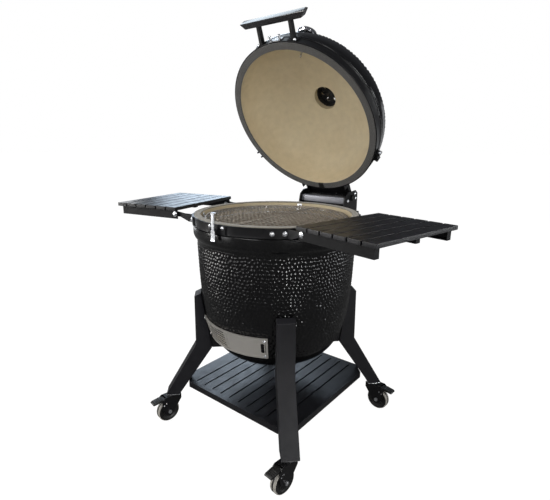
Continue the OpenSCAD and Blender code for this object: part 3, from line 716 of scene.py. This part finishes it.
def gaskets():
    """Felt rings with soft rounded edges and a slightly lumpy top; the lid's ends meet in a dark joint."""
    inner, outer = RIM_R - WALL + 1, RIM_R
    for name, node, place, body, low, underside, made, seed in (
        ("bowl_gasket", "base_gasket", RIM, "stand", -4, 0, FELT_PALE, 5),
        ("lid_gasket", "lid_gasket", LID, "lid", 0.5, -1, FELT_DARK, 6),
    ):
        outline = rounded([(inner, low), (outer, low), (outer, low + 4), (inner, low + 4)], 1.6, 4)
        verts, faces = lathe(outline, 320)
        chance = random.Random(seed)
        waves = [
            (chance.randint(9, 60), chance.uniform(0, 6.3), chance.uniform(0.03, 0.10)) for _ in range(8)
        ]
        verts = np.array(verts)
        angles = np.arctan2(verts[:, 0], -verts[:, 1])
        lump = sum(size * np.sin(turns * angles + phase) for turns, phase, size in waves)
        verts[:, 2] -= np.abs(lump) * np.where(verts[:, 2] > low + 2, 1, underside)
        build(name, (verts, faces), place, body, "felt", [made], [node], smooth=80)
    joint = rounded([(inner - 0.3, 0.2), (outer + 0.2, 0.2), (outer + 0.2, 4.6), (inner - 0.3, 4.6)], 0.8)
    build("lid_gasket_joint", lathe(joint, 8, 177.6, 4.8), LID, "lid", "felt", [RUBBER], smooth=60)


def bands():
    """Steel bands with rolled edges, and the screw clamps that pull their ends together beside the hinge."""
    inner, sunk = RIM_R + 0.3, BAND_R - 1
    for name, node, place, body, low in (
        ("bowl_band", "base_band", RIM, "stand", -33), ("dome_band", "lid_band", LID, "lid", 2),
    ):
        outline = rounded([
            (inner, low), (BAND_R, low), (BAND_R, low + 3.2), (sunk, low + 4.4), (sunk, low + 26.6),
            (BAND_R, low + 27.8), (BAND_R, low + 31), (inner, low + 31),
        ], 0.9, 3)
        build(name, lathe(outline, 240), place, body, "black_steel", [BLACK], [node], smooth=50)
    for name, place, body, middle, angle in (
        ("bowl_clamp", RIM, "stand", -17, 142), ("dome_clamp_right", LID, "lid", 17.5, 118),
        ("dome_clamp_left", LID, "lid", 17.5, -118),
    ):
        shape = Shape()
        for lean in (-2.2, 2.2):
            at = outwards(angle + lean, BAND_R - 0.5, middle)
            shape.add(slab((-3, -12, 0), (3, 12, 17), 1.2), at)
            shape.add(slab((-8 if lean < 0 else -3, -14, 0), (3 if lean < 0 else 8, 14, 2.2), 0.6), at)
        at = outwards(angle, BAND_R - 0.5, middle)
        across = spin(90, "Y")
        shape.add(rod((-26, 0, 11), (24, 0, 11), 2.6, 14), at, 1)
        shape.add(hex_nut(10, 5), at @ shift(14.2, 0, 11) @ across, 1)
        shape.add(screw_head(5, 4.5), at @ shift(-14.2, 0, 11) @ across.inverted(), 1)
        build(name, shape, place, body, "black_steel", [BLACK, ZINC])


# ---- handle, catch, thermometer and vent on the lid ----

HANDLE_Y = 339.5
END_SLOPE = 0.90


def handle():
    """A faceted bar whose ends slope in from its broad face and are chamfered round."""
    half = (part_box("handle_bar")[1].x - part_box("handle_bar")[0].x) / MM / 2
    ring = rounded([(-6.5, -12.5), (11, -12.5), (11, 12.5), (-7, 12.5), (-10, 8)], 1.2, 3)
    verts, faces = [], []
    chamfer = ((0.88, 0), (0.96, 0.8), (1.0, 2.6))
    ends = [(-1, *step) for step in chamfer] + [(1, *step) for step in chamfer[::-1]]
    for end, size, inset in ends:
        for y, z in ring:
            slope = max(0, y + 6, -6 - y) * END_SLOPE
            verts.append((end * (half - 2 - inset - slope), -HANDLE_Y + y * size, 32 + z * size))
    n, last = len(ring), len(ends) - 1
    for i in range(last):
        for j in range(n):
            k = (j + 1) % n
            faces.append([i * n + j, i * n + k, (i + 1) * n + k, (i + 1) * n + j])
    faces += [list(range(n))[::-1], [last * n + j for j in range(n)]]
    build("handle", (verts, faces), LID, "lid", "handle_metal", [HANDLE], ["handle_bar"], smooth=28)


def thermometer():
    """Chrome case with stepped rings, a white face with ticks, a red needle under glass, and a probe."""
    r = 34
    raised = LID @ DIAL_PLACE @ shift(0, 0, DIAL_LIFT)
    sunk = shift(0, 0, -DIAL_LIFT)
    shape = Shape()
    outline = [
        (0, 12), (r - 6, 12), (r - 4, 13), (r - 1, 13.6), (r, 15), (r, 18), (r - 1.6, 19.4), (r - 1.6, 20.6),
        (r, 22), (r, 25), (r - 1, 27), (r - 3, 27.6), (r - 4.2, 26.6), (r - 4.4, 19), (0, 19),
    ]
    shape.add(lathe(outline, 96))
    shape.add(hex_nut(27, 8 + DIAL_LIFT), sunk @ shift(0, 0, 3.6), 1)
    shape.add(rod((0, 0, -30), (0, 0, 5), 9.5, 32), sunk, 1)
    shape.add(lathe([(0, -54), (1.6, -53), (3, -50), (3, -30), (0, -30)], 24), sunk, 1)
    build("thermometer", shape, raised, "lid", "chrome", [CHROME, ZINC], ["thermometer_case"], smooth=35)
    face = Shape()
    face.add(lathe([(0, 19.05), (r - 4.6, 19.05), (r - 4.6, 19.5), (0, 19.5)], 72))
    for i in range(31):
        at = spin(125 - 250 * i / 30, "Z") @ shift(0, r - 6.5, 19.5)
        wide, long = (0.35, 3) if i % 5 else (0.7, 5.5)
        face.add(slab((-wide, -long, 0), (wide, 0, 0.25), 0.08, 1), at, 1)
    face.add(lathe([(17.4, 19.5), (18.2, 19.5), (18.2, 19.7), (17.4, 19.7)], 72), index=1)
    face.add(rod((0, 0, 19.4), (0, 0, 22), 1.1, 16), index=1)
    build("thermometer_face", face, raised, "lid", "chrome", [DIAL, DIAL_INK], smooth=35)
    needle = Shape()
    pointer = [(-22, -0.3), (0, -1.1), (8, -1.6), (8, 1.6), (0, 1.1), (-22, 0.3)]
    needle.add(prism(pointer, 20, 20.8, "Z", 0.15, 1))
    needle.add(lathe([(1.25, 19.9), (3.2, 19.9), (3.2, 21.0), (1.25, 21.2)], 32))
    build("needle", needle, raised, "needle", "needle_red", [NEEDLE], ["thermometer_needle"])
    dome = [(0, 24.2), (r - 4.6, 24.2), (r - 4.6, 25.4), (22, 26.6), (12, 27.4), (0, 27.7)]
    name = "thermometer_glass"
    build(name, lathe(dome, 64), raised, "lid", "glass", [GLASS], [name], smooth=50)


VENT_PLATE = 226  # the height of the holed plate's face
VENT_REST = 22  # the disc's turn from the plate at rest, in degrees


def petals(piece, low, high, turn):
    """Cuts the ring of six round vent holes through a piece."""
    for i in range(6):
        at = spin(60 * i + turn, "Z") @ shift(VENT_R - 14, 0, 0)
        cut(piece, lathe([(0, low), (7.5, low), (7.5, high), (0, high)], 40), LID @ at)


def vent():
    """Cast top vent: a flanged collar with a holed plate, and a holed disc on it with a turned knob."""
    low = DOME_TOP - 1
    outline = [
        (VENT_R - 3, 199), (VENT_R - 0.5, 199), (VENT_R - 0.5, low), (66, low), (66.6, low + 1.5),
        (65, low + 4), (58, low + 6), (54, low + 9), (51.5, low + 13), (51.5, VENT_PLATE - 3),
        (50, VENT_PLATE), (0, VENT_PLATE), (0, VENT_PLATE - 4), (VENT_R - 3, VENT_PLATE - 4),
    ]
    base = build("vent_base", lathe(outline, 128), LID, "lid", "cast_iron", [IRON], ["vent_base"], smooth=35)
    petals(base, VENT_PLATE - 10, VENT_PLATE + 5, 0)
    knob = [
        (0, 0.3), (48, 0.3), (48.6, 1.2), (48.2, 3.4), (46.5, 4.2), (40, 4.4), (20, 5.0), (13, 6.2),
        (9.6, 8.4), (9.0, 11.5), (11, 14.6), (15, 16.6), (16.2, 18.4), (16.2, 21.6), (15, 24), (11.5, 26.2),
        (6, 27), (0, 27.2),
    ]
    disc = build(
        "vent_disc", lathe([(r, VENT_PLATE + z) for r, z in knob], 128), LID, "vent_disc", "cast_iron",
        [IRON], ["vent_disc"], smooth=35,
    )
    petals(disc, VENT_PLATE - 1, VENT_PLATE + 10, VENT_REST)


# ---- inside the bowl ----

GRATE_Z = -17.6


def grates():
    """Two half-moon grates of crossed wire in a rim wire, and the wire rack with clips that carries them."""
    frame_r, seam, pitch, wire = 243, 3.5, 18.5, 1.2
    z = GRATE_Z + 3
    for side, name in ((-1, "left"), (1, "right")):
        shape = Shape()
        arc = [
            (side * frame_r * math.sin(a), -frame_r * math.cos(a), z)
            for a in (math.radians(0.9 + (178.2 * i / 72)) for i in range(73))
        ]
        shape.add(pipe(arc, 2.9, 10))
        shape.add(rod((side * seam, -frame_r + 2, z), (side * seam, frame_r - 2, z), 2.6, 10))
        for i in range(-13, 14):
            y = pitch * i
            reach = math.sqrt(frame_r ** 2 - y ** 2)
            shape.add(rod((side * seam, y, z + wire), (side * reach, y, z + wire), wire, 6))
        for i in range(1, 13):
            x = seam + pitch * i
            reach = math.sqrt(frame_r ** 2 - x ** 2)
            shape.add(rod((side * x, -reach, z - wire), (side * x, reach, z - wire), wire, 6))
        body, node = f"{name}_grate", f"grate_{name}"
        build(body, shape, RIM, body, "stainless", [WIRE], [node], smooth=50)
    rack = Shape()
    for r, z in ((228, -36.9), (238, -21)):
        circle = [(r * math.sin(a), -r * math.cos(a), z) for a in (2 * math.pi * i / 144 for i in range(144))]
        rack.add(pipe(circle, 3, 12, True))
    for angle in (106, 197, 308):
        outline = rounded([
            (226, -39), (229, -39), (243, -23), (252, -21), (252, -5), (249.5, -5), (249.5, -19), (236, -20),
        ], 0.8, 2)
        rack.add(lathe(outline, 4, angle - 2, 4))
        rack.add(screw_head(3.4, 2.4), outwards(angle, 249.6, -12) @ spin(180, "X"))
    build("grate_rack", rack, RIM, "stand", "stainless", [ZINC], ["grate_rack"], smooth=50)


def fire_ring():
    """The fire ring over the firebox, cast ceramic with rounded edges, its colour darkened as painted shade
    under the grate.
    """
    ring = lathe(rounded([(216, -140), (236, -140), (236, -40), (216, -40)], 3, 4), 160)
    build("fire_ring", ring, RIM, "stand", "cream_ceramic", [CREAM_SHADED], ["fire_ring"], smooth=50)


# ---- hinge ----

def hinge_parts():
    """Coiled springs on the shaft with its clips, and the bar between the cheeks on its black strip."""
    shaft_r = 8
    springs = Shape()
    wire, coils, steps = 2.0, 13, 20
    radius = shaft_r + 0.9 + wire
    for start in (-86, 34):
        path = [
            (start + 2.16 * wire * turns, HINGE_Y + radius * math.sin(a), HINGE_RISE + radius * math.cos(a))
            for turns, a in ((i / steps, 2 * math.pi * i / steps) for i in range(coils * steps + 1))
        ]
        springs.add(pipe(path, wire * 0.96, 8))
    build("hinge_springs", springs, RIM, "stand", "zinc", [BLACK], ["hinge_springs"], smooth=50)
    along = shift(0, HINGE_Y, HINGE_RISE) @ spin(90, "Y")
    shaft = [
        (0, -113), (10.5, -113), (12, -111.8), (12, -107.6), (10.8, -107), (shaft_r, -107), (shaft_r, 107),
        (10.8, 107), (12, 107.6), (12, 111.8), (10.5, 113), (0, 113),
    ]
    build("hinge_shaft", lathe(shaft, 40), RIM @ along, "stand", "zinc", [BLACK], ["hinge_shaft"], smooth=35)
    outline = [(296, 1), (315, 2), (318, 5), (318, 24), (315, 27), (296, 27), (293, 24), (293, 3)]
    bar = Shape()
    end = 100.7
    bar.add(prism(outline, -end, end, "X", 0.35, 2))
    bar.add(slab((-end, 297, -9), (end, 300, 3), 0.3, 1), index=1)
    build("hinge_bar", bar, RIM, "stand", "stainless", [BAR_STEEL, BLACK], ["hinge_bar"], smooth=35)


# ---- fasteners ----

def belly_at(z):
    """The bowl's radius at a height."""
    return belly_r((NECK_Z - z) / (BOWL_DEPTH + NECK_Z), NECK_R)


DOOR_LEFT, DOOR_RIGHT = -35, 33  # the draft door's ends, in degrees from the front
DOOR_TOP, DOOR_BOTTOM = -352, -430
DOOR_SLOPE = (belly_at(DOOR_TOP) - belly_at(DOOR_BOTTOM)) / (DOOR_TOP - DOOR_BOTTOM)


def door_r(z):
    """The radius of the draft door's frame at a height."""
    return belly_at(DOOR_TOP) + 3 - (DOOR_TOP - z) * DOOR_SLOPE


def bolts():
    """Every screw and pin: on the shelves' mounts, latch, draft door, hinge cheeks and lid fittings."""
    base = Shape()
    for side in (-1, 1):
        for angle in (36.3, 43.6, 112.4, 119.7):
            base.add(screw_head(5.5, 4.4), outwards(side * angle, BAND_R + 3.1, -17.5))
        base.add(screw_head(4, 3.2), outwards(side * 5.4, BAND_R + 2.6, -11))
        for y, z in ((306, 14), (364, 20), (360, 38)):
            base.add(screw_head(5, 4), shift(side * 105, y, z) @ spin(90 * side, "Y"))
        at = spin(-12 * side, "Z") @ shift(side * 306, 0, -8)
        for end in (-1, 1):
            base.add(rod((0, end * 151.5, 0), (0, end * 167.5, 0), 4, 20), at)
            turn = spin(-90 * end, "X")
            base.add(screw_head(6.6, 3.6), at @ shift(0, end * 164.8, 0) @ turn)
            base.add(hex_nut(11, 4.2), at @ shift(0, end * 151.7, 0) @ turn.inverted())
    tilt = Matrix.Rotation(math.atan(DOOR_SLOPE), 4, "X")
    for angle in (DOOR_LEFT + 1.5, DOOR_RIGHT - 2.2):
        for z in (DOOR_TOP - 9, DOOR_BOTTOM + 9):
            base.add(screw_head(4, 2.8, False), outwards(angle, door_r(z) + 6.2, z) @ tilt)
    build("stand_bolts", base, RIM, "stand", "zinc", [ZINC], ["base_bolts"], smooth=35)
    top = Shape()
    for side in (-1, 1):
        top.add(screw_head(4.6, 4.6), outwards(side * 14.8, BAND_R + 2.6, 10))
        stud = outwards(side * 3.6, BAND_R + 0.1, 12)
        top.add(rod((0, 0, 0), (0, 0, 15), 2.6, 16), stud)
        top.add(hex_nut(8, 4.5), stud @ shift(0, 0, 2))
        top.add(screw_head(4.4, 3.6), stud @ shift(0, 0, 13))
        top.add(screw_head(4.5, 4), outwards(180 + side * 17, BAND_R + 3.1, 22))
    build("lid_bolts", top, LID, "lid", "zinc", [ZINC], ["lid_bolts"], smooth=35)


# ---- casters ----

def caster(number):
    """A swivelling caster's wheel with its grey tread, its axle, and its brake pedal with a stepped grip."""
    swivel = JOINTS[f"caster_{number}_swivel"]["pos_m"]
    hub = Vector(JOINTS[f"wheel_{number}_spin"]["pos_m"])
    heading = math.atan2(hub.y - swivel[1], hub.x - swivel[0])
    # Local X points the way that the wheel trails and local Y along the axle, from the floor under the swivel
    place = shift(swivel[0], swivel[1], 0) @ Matrix.Rotation(heading, 4, "Z") @ MILLIMETRES
    trail, wheel_r, half = math.hypot(hub.x - swivel[0], hub.y - swivel[1]) / MM, hub.z / MM, 12
    axle = shift(trail, 0, wheel_r) @ spin(90, "X")
    wheel = Shape()
    side = [
        (4.1, half + 1.9), (9.4, half + 1.9), (10.4, half - 1), (12, half - 3), (15, half - 4.2),
        (24, half - 4.6), (27, half - 3.6), (30, half - 1.4), (31.5, half - 0.8),
        (wheel_r - 3.4, half - 0.4),
    ]
    core = side + [(r, -z) for r, z in reversed(side)]
    wheel.add(lathe(core, 72), axle)
    spoke = slab((-1.6, 11, 0), (1.6, 28, 2.2), 0.5, 1)
    for i in range(6):
        for low in (half - 4.8, 4.8 - half - 2.2):
            at = spin(60 * i, "Z") @ shift(0, 0, low)
            wheel.add(spoke, axle @ at)
    tread = [
        (wheel_r - 3.4, half - 0.5), (wheel_r - 2.6, half - 0.4), (wheel_r - 1.2, half - 1.6),
        (wheel_r - 0.3, half - 3.8), (wheel_r, half - 6.4), (wheel_r, 3.1), (wheel_r - 1.3, 2.2),
    ]
    tread += [(r, -z) for r, z in reversed(tread)]
    start, around = len(wheel.faces), 96
    wheel.add(lathe(tread, around), axle, 1)
    # The sixth to eighth rows of faces are the black groove round the middle
    for i in range(start + around * 5, start + around * 8):
        wheel.indices[i] = 0
    body, node = f"wheel_{number}", f"caster_wheel_{number}"
    build(body, wheel, place, body, "caster_tyre", [RUBBER, TREAD], [node])
    pin = Shape()
    out = half + 5
    pin.add(rod((0, 0, -out - 5), (0, 0, out + 5), 4, 24), axle)
    for end in (1, -1):
        pin.add(hex_nut(13, 4.6), axle @ spin(90 - 90 * end, "X") @ shift(0, 0, out))
        # Rivets of the brake's housing
        for x, z in ((trail + 10, wheel_r + 35), (trail + 20, wheel_r + 30)):
            at = shift(x, -end * (out - 0.1), z) @ spin(90 * end, "X")
            pin.add(lathe([(0, 0), (2.6, 0), (2.4, 0.9), (1.4, 1.5), (0, 1.7)], 20), at)
    node = f"caster_axle_{number}"
    build(node, pin, place, f"caster_{number}", "zinc", [ZINC], [node])
    pedal = Shape()
    x, z, wide = trail + 18, JOINTS[f"pedal_{number}_press"]["pos_m"][2] / MM, half + 2.2
    top = [(x - 8, z + 1), (x - 4, z + 4.4), (x + 8, z + 4.4)]
    for i in range(4):
        step = x + 11 + 6.8 * i
        top += [(step, z + 3.6 - 1.0 * i), (step + 1.8, z + 4.6 - 1.1 * i), (step + 4.6, z + 3.9 - 1.2 * i)]
    outline = top + [(x + 39, z - 1.2), (x + 42, z - 5), (x + 38, z - 7), (x + 8, z - 4), (x, z - 4.5)]
    pedal.add(prism(outline, -wide, wide, "Y", 0.5, 2))
    pedal.add(rod((x, -out, z), (x, out, z), 2.5, 16))
    body, node = f"pedal_{number}", f"caster_pedal_{number}"
    build(body, pedal, place, body, "black_steel", [RUBBER], [node])


# ---- CAD nodes that stay, with softened edges ----

def keep(node, made, edge):
    """A CAD node keeps its shape and gets a finish, and its sharp edges a small round."""
    piece = NODES[node]
    for slot in piece.material_slots:
        slot.material = made
    weld = piece.modifiers.new("weld", "WELD")
    weld.merge_threshold = 1e-5
    join = piece.modifiers.new("join", "DECIMATE")
    join.decimate_type, join.angle_limit = "DISSOLVE", math.radians(0.5)
    if edge:
        soft = piece.modifiers.new("edges", "BEVEL")
        soft.width, soft.segments, soft.limit_method = edge * MM, 2, "ANGLE"
        soft.angle_limit = math.radians(32)
    piece.modifiers.new("shade", "WEIGHTED_NORMAL")


def kept_nodes():
    for made, edge, nodes in (
        (CHARCOAL, 1.2, ("leg_front_right", "leg_back_right", "leg_back_left", "leg_front_left")),
        (SLAT, 1.0, ("shelf_slats_right", "shelf_slats_left")),
        (SLAT, 0.8, ("bottom_shelf", "cradle_brackets")),
        (DULL, 0.8, ("shelf_frame_right", "shelf_frame_left", "handle_posts")),
        (BLACK, 0.7, ("shelf_mount_right", "shelf_mount_left", "hinge_lower_bracket", "hinge_upper_bracket")),
        (BLACK, 0.5, ("caster_fork_1", "caster_fork_2", "caster_fork_3", "caster_fork_4")),
        (BLACK, 0.4, ("latch_bracket",)),
        (STAINLESS, 0.35, ("draft_frame",)),
        (STAINLESS, 0.3, ("draft_slider",)),
        (LEVER, 0.6, ("latch_lever",)),
        (ZINC, 0.4, ("lid_catch",)),
        (ZINC, 0.5, ("caster_plates",)),
        (IRON, 0.8, ("charcoal_grate",)),
        # The firebox gets the darkened ceramic: painted shade under the grate.
        (CREAM_SHADED, 0, ("firebox",)),
    ):
        for node in nodes:
            keep(node, made, edge)


# ---- studio ----

def camera():
    """At the photograph's angle: to the front right of the grill and a little above its rim."""
    data = bpy.data.cameras.new("camera")
    data.sensor_width, data.lens = 36, 27.78
    data.clip_start, data.clip_end = 0.05, 100
    made = add_object("camera", data)
    azimuth, elevation, roll = 38.90, 14.33, 0.18
    turn = spin(azimuth, "Z") @ spin(90 - elevation, "X") @ spin(roll, "Z")
    made.matrix_world = shift(0.9057, AXIS_Y - 1.1293, RIM_Z + 0.2339) @ turn
    bpy.context.scene.camera = made


def softbox(
    name, azimuth, elevation, distance, width, tall, radiance, colour=WHITE, mirrored=True, lit=True,
):
    """A lamp that faces the grill's middle. Azimuth 0 is straight in front and 90 on the +X side. A lamp that
    isn't mirrored is missing from reflections, and one that isn't lit is only in them."""
    data = bpy.data.lights.new(name, "AREA")
    data.shape, data.size, data.size_y, data.color = "RECTANGLE", width, tall, colour
    data.energy = radiance * math.pi * width * tall
    made = add_object(name, data)
    a, e = math.radians(azimuth), math.radians(elevation)
    away = Vector((math.sin(a) * math.cos(e), -math.cos(a) * math.cos(e), math.sin(e)))
    made.location = Vector((0, 0, 0.8)) + away * distance
    made.rotation_euler = away.to_track_quat("Z", "Y").to_euler()
    made.visible_camera = False
    made.visible_glossy = mirrored
    made.visible_diffuse = lit


def by_ray(tree, seen, mirrored, lit):
    """One shader for the camera, one for mirror-like reflections, and one for all other light."""
    path = add_node(tree, "LightPath")
    inner = add_node(tree, "MixShader")
    outer = add_node(tree, "MixShader")
    tree.links.new(path.outputs["Is Glossy Ray"], inner.inputs[0])
    tree.links.new(lit, inner.inputs[1])
    tree.links.new(mirrored, inner.inputs[2])
    tree.links.new(path.outputs["Is Camera Ray"], outer.inputs[0])
    tree.links.new(inner.outputs[0], outer.inputs[1])
    tree.links.new(seen, outer.inputs[2])
    return outer.outputs[0]


def plain(tree, kind, level, strength=None):
    """A node that gives one grey."""
    node = add_node(tree, kind)
    node.inputs["Color"].default_value = (level, level, level, 1)
    if strength is not None:
        node.inputs["Strength"].default_value = strength
    return node.outputs[0]


def floor():
    """Nearly white to the camera, with a faint shadow under the grill."""
    mesh = bpy.data.meshes.new("floor")
    half = 40
    corners = [(-half, -half, 0), (half, -half, 0), (half, half, 0), (-half, half, 0)]
    mesh.from_pydata(corners, [], [(0, 1, 2, 3)])
    made = add_object("floor", mesh)
    material = bpy.data.materials.new("floor")
    material.use_nodes = True
    tree = material.node_tree
    tree.nodes.clear()
    both = add_node(tree, "AddShader")
    tree.links.new(plain(tree, "Emission", 1, 0.975), both.inputs[0])
    tree.links.new(plain(tree, "BsdfDiffuse", 0.12), both.inputs[1])
    out = add_node(tree, "OutputMaterial")
    mirrored, lit = plain(tree, "Emission", 1, 0.17), plain(tree, "BsdfDiffuse", 0.80)
    tree.links.new(by_ray(tree, both.outputs[0], mirrored, lit), out.inputs["Surface"])
    mesh.materials.append(material)


def sky():
    """White to the camera, an even fill for the light, and a dim room, brighter above, in reflections."""
    world = bpy.data.worlds.new("studio")
    bpy.context.scene.world = world
    world.use_nodes = True
    tree = world.node_tree
    tree.nodes.clear()
    place = add_node(tree, "TexCoord")
    split = add_node(tree, "SeparateXYZ")
    shade = add_node(tree, "ValToRGB")
    stops = shade.color_ramp.elements
    stops[0].position, stops[0].color = 0.0, (0.04, 0.04, 0.045, 1)
    stops[1].position, stops[1].color = 0.9, (0.15, 0.155, 0.17, 1)
    room = add_node(tree, "Background")
    tree.links.new(place.outputs["Generated"], split.inputs["Vector"])
    tree.links.new(split.outputs["Z"], shade.inputs["Fac"])
    tree.links.new(shade.outputs["Color"], room.inputs["Color"])
    out = add_node(tree, "OutputWorld")
    white, fill = plain(tree, "Background", 1, 1), plain(tree, "Background", 1, 0.30)
    tree.links.new(by_ray(tree, white, room.outputs[0], fill), out.inputs["Surface"])


def studio():
    floor()
    sky()
    softbox("strip_left", -50, 8, 3.2, 0.90, 1.5, 22, (1.0, 0.98, 0.95), lit=False)
    softbox("low_left", -28, 2, 3.3, 0.8, 1.0, 6, lit=False)
    softbox("strip_front", 64, 16, 3.0, 0.55, 1.6, 40, lit=False)
    softbox("front", 8, 14, 3.2, 0.9, 1.1, 9, lit=False)
    softbox("strip_right", 120, 8, 3.2, 0.60, 1.7, 18, (0.96, 0.98, 1.0), lit=False)
    softbox("top", -30, 58, 3.2, 0.9, 0.9, 14, (1.0, 0.98, 0.95))
    softbox("edge_right", 172, 2, 3.6, 1.2, 1.6, 0.8, (0.95, 0.97, 1.0))
    softbox("edge_left", -106, 2, 3.6, 1.2, 1.6, 3.0, (0.95, 0.97, 1.0))
    softbox("back_low", -130, 7, 3.6, 1.3, 0.9, 3.2, (0.70, 0.84, 1.0), lit=False)
    softbox("back_middle", -135, 23, 3.6, 1.6, 0.8, 9.0, (0.72, 0.85, 1.0), lit=False)
    softbox("back_high", -116, 53, 3.4, 1.3, 1.2, 2.4, (0.80, 0.91, 1.0), lit=False)
    softbox("fill_left", -35, 12, 3.5, 2.4, 2.4, 2.6, (1.0, 0.98, 0.95), mirrored=False)
    softbox("fill_right", 55, 12, 3.5, 2.4, 2.4, 2.6, (1.0, 0.98, 0.95), mirrored=False)
    bpy.context.scene.view_settings.view_transform = "Standard"


bowl()
lid()
gaskets()
bands()
handle()
thermometer()
vent()
grates()
fire_ring()
hinge_parts()
bolts()
for number in range(1, 5):
    caster(number)
kept_nodes()
camera()
studio()
